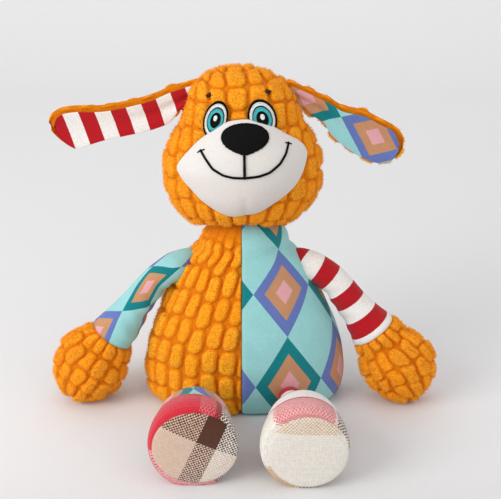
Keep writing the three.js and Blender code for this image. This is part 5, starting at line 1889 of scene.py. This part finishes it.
@dataclass
class Arm:
    """One arm: a cloth sleeve and a plush paw, turning about its shoulder."""

    shop: Workshop
    torso: Torso
    side: Side
    shoulder: tuple[float, float, float]
    sleeve_shares: Rows
    out: float = 77.5
    forward: float = 9.0
    down: float = 92.9
    root_radius: float = 10.2
    root_tail: float = 18.0
    paw_radius: float = 25.8
    paw_depth: float = 0.86
    wrist: float = 0.545

    def run(self) -> Run:
        """The arm's centre line and sizes."""
        sign = self.side.value
        root = np.array(self.shoulder)
        along = np.array([sign * self.out, -self.forward, -self.down])
        length = np.linalg.norm(along)
        bow = np.array([sign * self.down, 0, self.out]) / math.hypot(self.down, self.out)
        paw_shares = (
            (0.585, 0.022, 0.75), (0.65, 0.019, 0.89), (0.73, 0.013, 1), (0.81, 0.004, 0.97),
            (0.89, -0.008, 0.83), (0.955, -0.016, 0.54),
        )
        stations = []
        tail = self.root_tail / length
        inward = np.array([-15.0 * sign, 6.0, 8.5])
        for share, width in ((1, 0.03), (0.97, 0.3), (0.88, 0.5), (0.6, 0.74), (0.3, 0.9), (0, 1)):
            size = self.root_radius * width
            stations.append((-share * tail, root + inward * share, size, size))
        for share, lean, width in (*self.sleeve_shares, *paw_shares):
            centre = root + along * share + bow * (lean * length)
            size = width * self.paw_radius
            stations.append((share, centre, size, size * (self.paw_depth if share > 0.56 else 1)))
        for share, width in ((0.985, 0.3), (1.0, 0.02)):
            size = width * self.paw_radius
            centre = root + along * share - bow * (0.018 * length)
            stations.append((share, centre, size, size * self.paw_depth))
        return Run(stations)

    def settled(self, run: Run) -> Bulge:
        """How the arm's cover bulges between the shoulder, the wrist seam and the floor."""
        points = run.grid(np.linspace(-0.02, 0.995, 60), np.array([0.0, 1.0, 0.0]), 61)[0]
        root = np.array(self.shoulder)
        along = np.array([self.side.value * self.out, -self.forward, -self.down])

        def held(places: Array) -> Array:
            """Firm near the shoulder, round the wrist and where the paw rests."""
            share = (places - root) @ along / (along @ along)
            shoulder = 1 - (share - 0.08) / 0.1
            wrist = 1 - np.abs(share - self.wrist) / 0.05
            floor = 1 - (places[:, 2] - 2) / 6
            return firmest(shoulder, wrist, floor)

        return Stuffing().settle(f"{self.side.word}_arm", points, held)

    def build(self) -> None:
        """Makes the sleeve, the paw and the seam between them."""
        word, sign = self.side.word, self.side.value
        root, run = np.array(self.shoulder), self.run()
        length = math.sqrt(self.out**2 + self.forward**2 + self.down**2)
        start = -self.root_tail / length
        across = np.array([0.0, 1.0, 0.0])
        places = np.linspace(start, self.wrist, 80)
        points, walked, girth = run.grid(places, across, 97)
        bulge = self.settled(run)
        free = places > 0.03
        points[free] = bulge.apply(points[free])
        points[free] = clear_of_torso(points[free], self.torso, root, sign)
        normals = outward_normals(points, True)
        tuck = share_of((places - (self.wrist - 0.02)) / 0.02) ** 2 * 1.6
        creases = self.creases(places, points.shape[1])
        points = points - normals * (tuck[:, None] + creases)[:, :, None]
        share = np.broadcast_to(np.linspace(0, 1, 97), points.shape[:2])
        from_root = np.broadcast_to((walked - np.interp(0, places, walked))[:, None], share.shape)
        from_wrist = from_root - from_root[-1, 0]
        if self.side is Side.LEFT:
            weave = np.dstack([share * girth[:, None], from_root + 19.8])
            cloth = Cloth.STRIPE
        else:
            u, v = (share - 0.542) * 76.0, from_wrist + 45.9
            weave = np.dstack([1.43 * u - 0.19 * v, 0.96 * u + 1.15 * v - 60.0])
            cloth = Cloth.PRINT
        piece = Skin(points, weave).closed(f"{word}_sleeve_cloth")
        flatten_on_floor(piece)
        self.shop.dress(piece, f"{word}_arm", cloth, [f"{word}_sleeve", f"{word}_arm_stuffing"])
        places = np.linspace(self.wrist - 0.012, 0.999, 84)
        points, walked, girth = run.grid(places, across, 161)
        points = clear_of_torso(bulge.apply(points), self.torso, root, sign)
        period = np.round(girth.max() / PAW_COLUMN_MM) * PAW_COLUMN_MM
        around = np.broadcast_to(np.linspace(0, period, 161), points.shape[:2])
        weave = np.dstack([around, np.broadcast_to(walked[:, None] + 3.0, around.shape)])
        skin = Skin(points, weave)
        ease = share_of((places - self.wrist) * length / 3.0)
        skin.stand = np.broadcast_to(domed(ease)[:, None], around.shape).copy()
        piece = self.shop.raise_blocks(skin.to_object(f"{word}_paw_plush"), "paw")
        flatten_on_floor(piece)
        self.shop.dress(piece, f"{word}_arm", Cloth.CORN, [f"{word}_paw_cover"])
        self.shop.fuzz(piece, f"{word}_arm", 2.4)
        self.armhole()

    def creases(self, places: Array, columns: int) -> Array:
        """Soft creases across the sleeve, deepest on its inner side and near its ends."""
        angle = np.linspace(0, TAU, columns)[None, :]
        place = places[:, None]
        inner = 0.5 - 0.5 * np.sin(angle) * self.side.value
        wave = np.sin(place * 46 + 1.4 * np.sin(angle * 2)) * np.sin(place * 19 + angle)
        ends = share_of(place * 6) * share_of((self.wrist - place) * 14)
        return 0.9 * inner * wave * ends

    def armhole(self) -> None:
        """The fill behind the armhole, inside the torso."""
        word, sign = self.side.word, self.side.value
        profile = ((-28.3, 3.0), (-27.5, 5.6), (-20, 6.3), (-13, 6.3), (-11, 5.2), (-10.2, 2.5))
        turned = [(sign * x, radius) for x, radius in profile]
        piece = lathe(f"{word}_shoulder_fill", turned, self.shoulder, 0)
        nodes = [f"{word}_shoulder_stuffing"]
        self.shop.dress(piece, f"{word}_shoulder", Cloth.FILL, nodes)


@dataclass
class Leg:
    """One leg: a cloth tube, a checked foot and its sole, turning about its hip."""

    shop: Workshop
    side: Side
    hip: tuple[float, float, float]
    foot_x: float
    root_radius: float = 8.5
    reach: float = 77.0
    squat: float = 0.055
    wide: float = 1.0
    patch: tuple[float, float, float, float] = (1.8, -1.2, 0.885, 0.87)
    foot_radius: float = 27.3
    floor_dip: float = 1.2
    ankle: float = 0.68
    seam: float = 0.775
    sole: float = 0.98

    def run(self) -> Run:
        """The leg's centre line and sizes."""
        root = np.array(self.hip)
        foot_z = self.foot_radius - self.floor_dip
        shares = (
            (0.16, 0.33), (0.3, 0.43), (0.43, 0.66), (0.555, 0.85),
            (self.ankle, 0.945),
            (0.79, 0.995), (0.885, 1), (0.93, 0.985), (0.96, 0.95),
            (self.sole, 0.9),
        )
        stations = []
        start = self.root_radius / self.reach
        for share in (-0.999, -0.87, -0.5, 0):
            size = self.root_radius * math.sqrt(1 - share * share)
            centre = root + np.array([0, -self.reach * share * start, 0])
            stations.append((share * start, centre, size, size))
        for share, width in shares:
            ease = min(share / self.ankle, 1)
            x = root[0] + (self.foot_x - root[0]) * ease
            z = root[2] + (foot_z - root[2]) * ease
            size = width * self.foot_radius
            flat = self.squat * min(max((0.95 - share) / 0.2, 0.0), 1.0)
            centre = np.array([x, root[1] - self.reach * share, z - size * flat])
            across = size * (1 + (self.wide - 1) * ease)
            stations.append((share, centre, across, size * (1 - flat)))
        return Run(stations)

    def settled(self, run: Run) -> Bulge:
        """How the leg's cover bulges between the hip, the ankle seam, the sole and the floor."""
        points = run.grid(np.linspace(0, self.sole, 50), np.array([1.0, 0.0, 0.0]), 61)[0]

        def held(places: Array) -> Array:
            """Firm at the hip, along both seams and on the floor."""
            share = (self.hip[1] - places[:, 1]) / self.reach
            hip = 1 - (share - 0.2) / 0.15
            seams = 1 - np.minimum(np.abs(share - self.seam), np.abs(share - self.sole)) / 0.06
            floor = 1 - (places[:, 2] - 2) / 6
            return firmest(hip, seams, floor)

        return Stuffing().settle(f"{self.side.word}_leg", points, held)

    def build(self) -> None:
        """Makes the tube, the foot and the sole."""
        word = self.side.word
        run = self.run()
        bulge = self.settled(run)
        across = np.array([1.0, 0.0, 0.0])
        start = -self.root_radius / self.reach * 0.998
        places = np.linspace(start, self.seam, 60)
        points, walked, girth = run.grid(places, across, 97)
        points = bulge.apply(points)
        around = np.linspace(0, 1, 97)[None, :] * girth[:, None]
        shift = 47.0 if self.side is Side.LEFT else 60.0
        weave = np.dstack([around - 21.0, np.broadcast_to(walked[:, None] - shift, around.shape)])
        tube = Skin(points, weave).closed(f"{word}_leg_cloth")
        flatten_on_floor(tube)
        cloth = Cloth.STRIPE if self.side is Side.LEFT else Cloth.PRINT
        nodes = [f"{word}_leg_tube", f"{word}_leg_stuffing"]
        self.shop.dress(tube, f"{word}_leg", cloth, nodes)
        places = np.linspace(self.seam - 0.01, self.sole, 56)
        points, walked, _ = run.grid(places, across, 129)
        points = bulge.apply(points)
        around = np.broadcast_to(np.linspace(0, FOOT_ROUND_MM, 129), points.shape[:2])
        weave = np.dstack([around, np.broadcast_to(walked[:, None], around.shape)])
        foot = Skin(points, weave).closed(f"{word}_foot_cloth")
        flatten_on_floor(foot)
        nodes, finish = [f"{word}_foot_upper"], self.shop.bands[self.side]
        self.shop.dress(foot, f"{word}_leg", Cloth.CHECK, nodes, material=finish)
        self.sole_patch()
        self.hip_fill()

    def sole_patch(self) -> None:
        """The sole: a crowned disc with a sewn edge."""
        word = self.side.word
        y = self.hip[1] - self.reach * self.sole
        aside, up, wide, tall = self.patch
        middle = np.array([self.foot_x + aside, y, self.foot_radius - self.floor_dip + up])
        half = np.array([self.foot_radius * wide, 1.0, self.foot_radius * tall])
        angle = np.linspace(0, TAU, 97)
        shares = np.linspace(0.04, 1, 26)
        dome = [(share, 2.3 * (1 - share**2.6) ** 0.62 + 0.1) for share in shares]
        grid = []
        for share, lift in (*dome, (0.97, -1.3), (0.6, -1.6)):
            ring = (share * np.cos(angle), np.full(97, -lift), share * np.sin(angle))
            grid.append(np.column_stack(ring) * half)
        points = np.array(grid) + middle
        weave = points[:, :, (0, 2)] - middle[[0, 2]]
        piece = Skin(points, weave).closed(f"{word}_sole_cloth")
        flatten_on_floor(piece)
        finish = self.shop.sole if self.side is Side.RIGHT else self.shop.pale_sole
        nodes = [f"{word}_foot_sole"]
        self.shop.dress(piece, f"{word}_leg", Cloth.CHECK, nodes, material=finish)

    def hip_fill(self) -> None:
        """The cup of fill that the leg's round root turns in."""
        word = self.side.word
        profile = []
        for outer, lifts in ((13.9, np.linspace(88, 68, 7)), (11.6, np.linspace(68, 88, 7))):
            for lift in np.radians(lifts):
                profile.append((outer * math.sin(lift), outer * math.cos(lift)))
        piece = lathe(f"{word}_hip_fill", profile, self.hip, 1)
        self.shop.dress(piece, f"{word}_hip", Cloth.FILL, [f"{word}_hip_stuffing"])


@dataclass
class Inside:
    """What the covers hide: the neck's fill and the squeaker."""

    shop: Workshop
    neck_z: float = 112.0

    def build(self) -> None:
        """Makes the neck's fill and gives the squeaker its plastic."""
        low = ((-13.6, 6.0), (-13.4, 12.0), (-12, 13.7))
        high = ((10, 13.9), (20, 13.6), (27, 12.0), (29.4, 8.0))
        piece = lathe("neck_fill", (*low, *high), (0, 0, self.neck_z), 2)
        self.shop.dress(piece, "neck", Cloth.FILL, ["neck_stuffing"])
        flow = {"sheen": 0.0, "mottle": 0.95, "mottle_mm": 5.0}
        milky, grey = linear("E6E9EA"), linear("C9CED2")
        clear = Plain("Squeaker plastic", roughness=0.35, grain_mm=6.0, tone=milky, **flow).make()
        film = Plain("Reed film", roughness=0.5, tone=grey, **flow).make()
        for part in ("base", "dome", "whistle", "reed"):
            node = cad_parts[f"squeaker_{part}"]
            node.data.materials.clear()
            node.data.materials.append(film if part == "reed" else clear)
        self.bellows(clear)

    def bellows(self, plastic: bpy.types.Material) -> None:
        """The squeaker's folding wall."""
        low, high = (np.array(corner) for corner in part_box("squeaker_bellows"))
        radius, height = (high[0] - low[0]) / 2, high[2] - low[2]
        middle, wall = (low + high) / 2, 0.8 * MM
        folds = (0, 0.4, 2.4, 0.4, 2.4, 0.4, 0)
        outer = [
            (radius - fold * MM, low[2] + height * share)
            for share, fold in zip(np.linspace(0, 1, len(folds)), folds)
        ]
        profile = [*outer, *[(r - wall, z) for r, z in reversed(outer)]]
        sides, rows = 64, len(profile)
        angle = np.arange(sides) / sides * TAU
        points = [
            (middle[0] + r * math.cos(a), middle[1] + r * math.sin(a), z)
            for r, z in profile
            for a in angle
        ]
        faces = []
        for row in range(rows):
            one, other = row * sides, (row + 1) % rows * sides
            for side in range(sides):
                after = (side + 1) % sides
                faces.append((one + side, one + after, other + after, other + side))
        mesh = bpy.data.meshes.new("squeaker_folds")
        mesh.from_pydata(points, [], faces)
        piece = close_up(link("squeaker_folds", mesh))
        piece.data.materials.append(plastic)
        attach(piece, "torso")
        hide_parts("squeaker_bellows")
        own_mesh(piece)


# Studio


@dataclass
class Studio:
    """The camera, the pale floor and the soft lights."""

    target: tuple[float, float, float] = (4.2, 0.0, 106.43)
    distance: float = 650.0
    elevation_deg: float = 20.0
    focal_px: float = 949.9
    width_px: float = 501.0
    sensor_mm: float = 36.0

    def build(self) -> None:
        """Sets the camera, the floor, the backdrop's light and the lamps."""
        lift = math.radians(self.elevation_deg)
        target = Vector(self.target) * MM
        away = Vector((0, -math.cos(lift), math.sin(lift))) * (self.distance * MM)
        lens = bpy.data.cameras.new("camera")
        lens.sensor_width = self.sensor_mm
        lens.lens = self.focal_px * self.sensor_mm / self.width_px
        lens.clip_start = 0.01
        camera = link("camera", lens)
        camera.location = target + away
        camera.rotation_euler = (math.pi / 2 - lift, 0, 0)
        bpy.context.scene.camera = camera
        self.floor()
        for name, place, size, watts in (
            ("key", (-0.95, -0.75, 0.66), 0.8, 10.7),
            ("fill", (0.9, -0.85, 0.4), 1.2, 2.9),
            ("top", (-0.1, 0.2, 1.2), 1.1, 0.7),
        ):
            self.lamp(name, place, size, watts)
        world = bpy.data.worlds.new("studio")
        bpy.context.scene.world = world
        world.use_nodes = True
        glow = world.node_tree.nodes["Background"]
        glow.inputs[0].default_value = (0.94, 0.94, 0.94, 1)
        glow.inputs[1].default_value = 0.8

    def floor(self) -> None:
        """A pale sweep: the floor, curving up into the backdrop."""
        half, front_y, bend_y, radius, top = 6.0, -1.6, 1.1, 0.6, 2.6
        line = [(front_y, 0.0), (bend_y, 0.0)]
        for step in range(1, 13):
            turn = step / 12 * math.pi / 2
            line.append((bend_y + radius * math.sin(turn), radius * (1 - math.cos(turn))))
        line.append((bend_y + radius, top))
        points = [(x, y, z) for y, z in line for x in (-half, half)]
        faces = [(2 * i, 2 * i + 1, 2 * i + 3, 2 * i + 2) for i in range(len(line) - 1)]
        mesh = bpy.data.meshes.new("floor")
        mesh.from_pydata(points, [], faces)
        mesh.shade_smooth()
        sweep = link("floor", mesh)
        sweep.data.materials.append(Paper("Pale paper", sheen=0.0).make())

    def lamp(self, name: str, place: tuple[float, float, float], size: float, watts: float) -> None:
        """A soft square lamp that looks at the toy."""
        light = bpy.data.lights.new(name, "AREA")
        light.size = size
        light.energy = watts
        lamp = link(name, light)
        lamp.location = place
        aim = Vector(self.target) * MM - Vector(place)
        lamp.rotation_euler = aim.to_track_quat("-Z", "Y").to_euler()


def main() -> None:
    """Builds the toy piece by piece, then the studio."""
    logging.basicConfig(level=logging.INFO, format="%(message)s")
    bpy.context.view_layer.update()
    bpy.context.scene.view_settings.view_transform = "Standard"
    shop = Workshop()
    torso = Torso(shop)
    torso.build()
    head = Head(shop)
    face = Face(shop, head)
    head.build(face.eyes)
    face.build()
    Ear(shop, Side.LEFT, reach=76, drop=56, hinge_x=33.84, rim=(0.4, -1.7)).build()
    Ear(shop, Side.RIGHT, reach=96.5, drop=44, hinge_x=-35.84).build()
    Arm(shop, torso, Side.LEFT, (47.515, -7, 96.5), LEFT_SLEEVE_SHARES, wrist=0.51).build()
    Arm(shop, torso, Side.RIGHT, (-47.515, -7, 96.5), RIGHT_SLEEVE_SHARES).build()
    Leg(shop, Side.LEFT, (31, -47.51, 17), 36.5, reach=80.0).build()
    patch = (1.9, -0.2, 0.94, 0.87)
    Leg(shop, Side.RIGHT, (-31, -47.51, 17), -30.5, wide=1.045, patch=patch).build()
    Inside(shop).build()
    Studio().build()


if __name__ == "__main__":
    main()
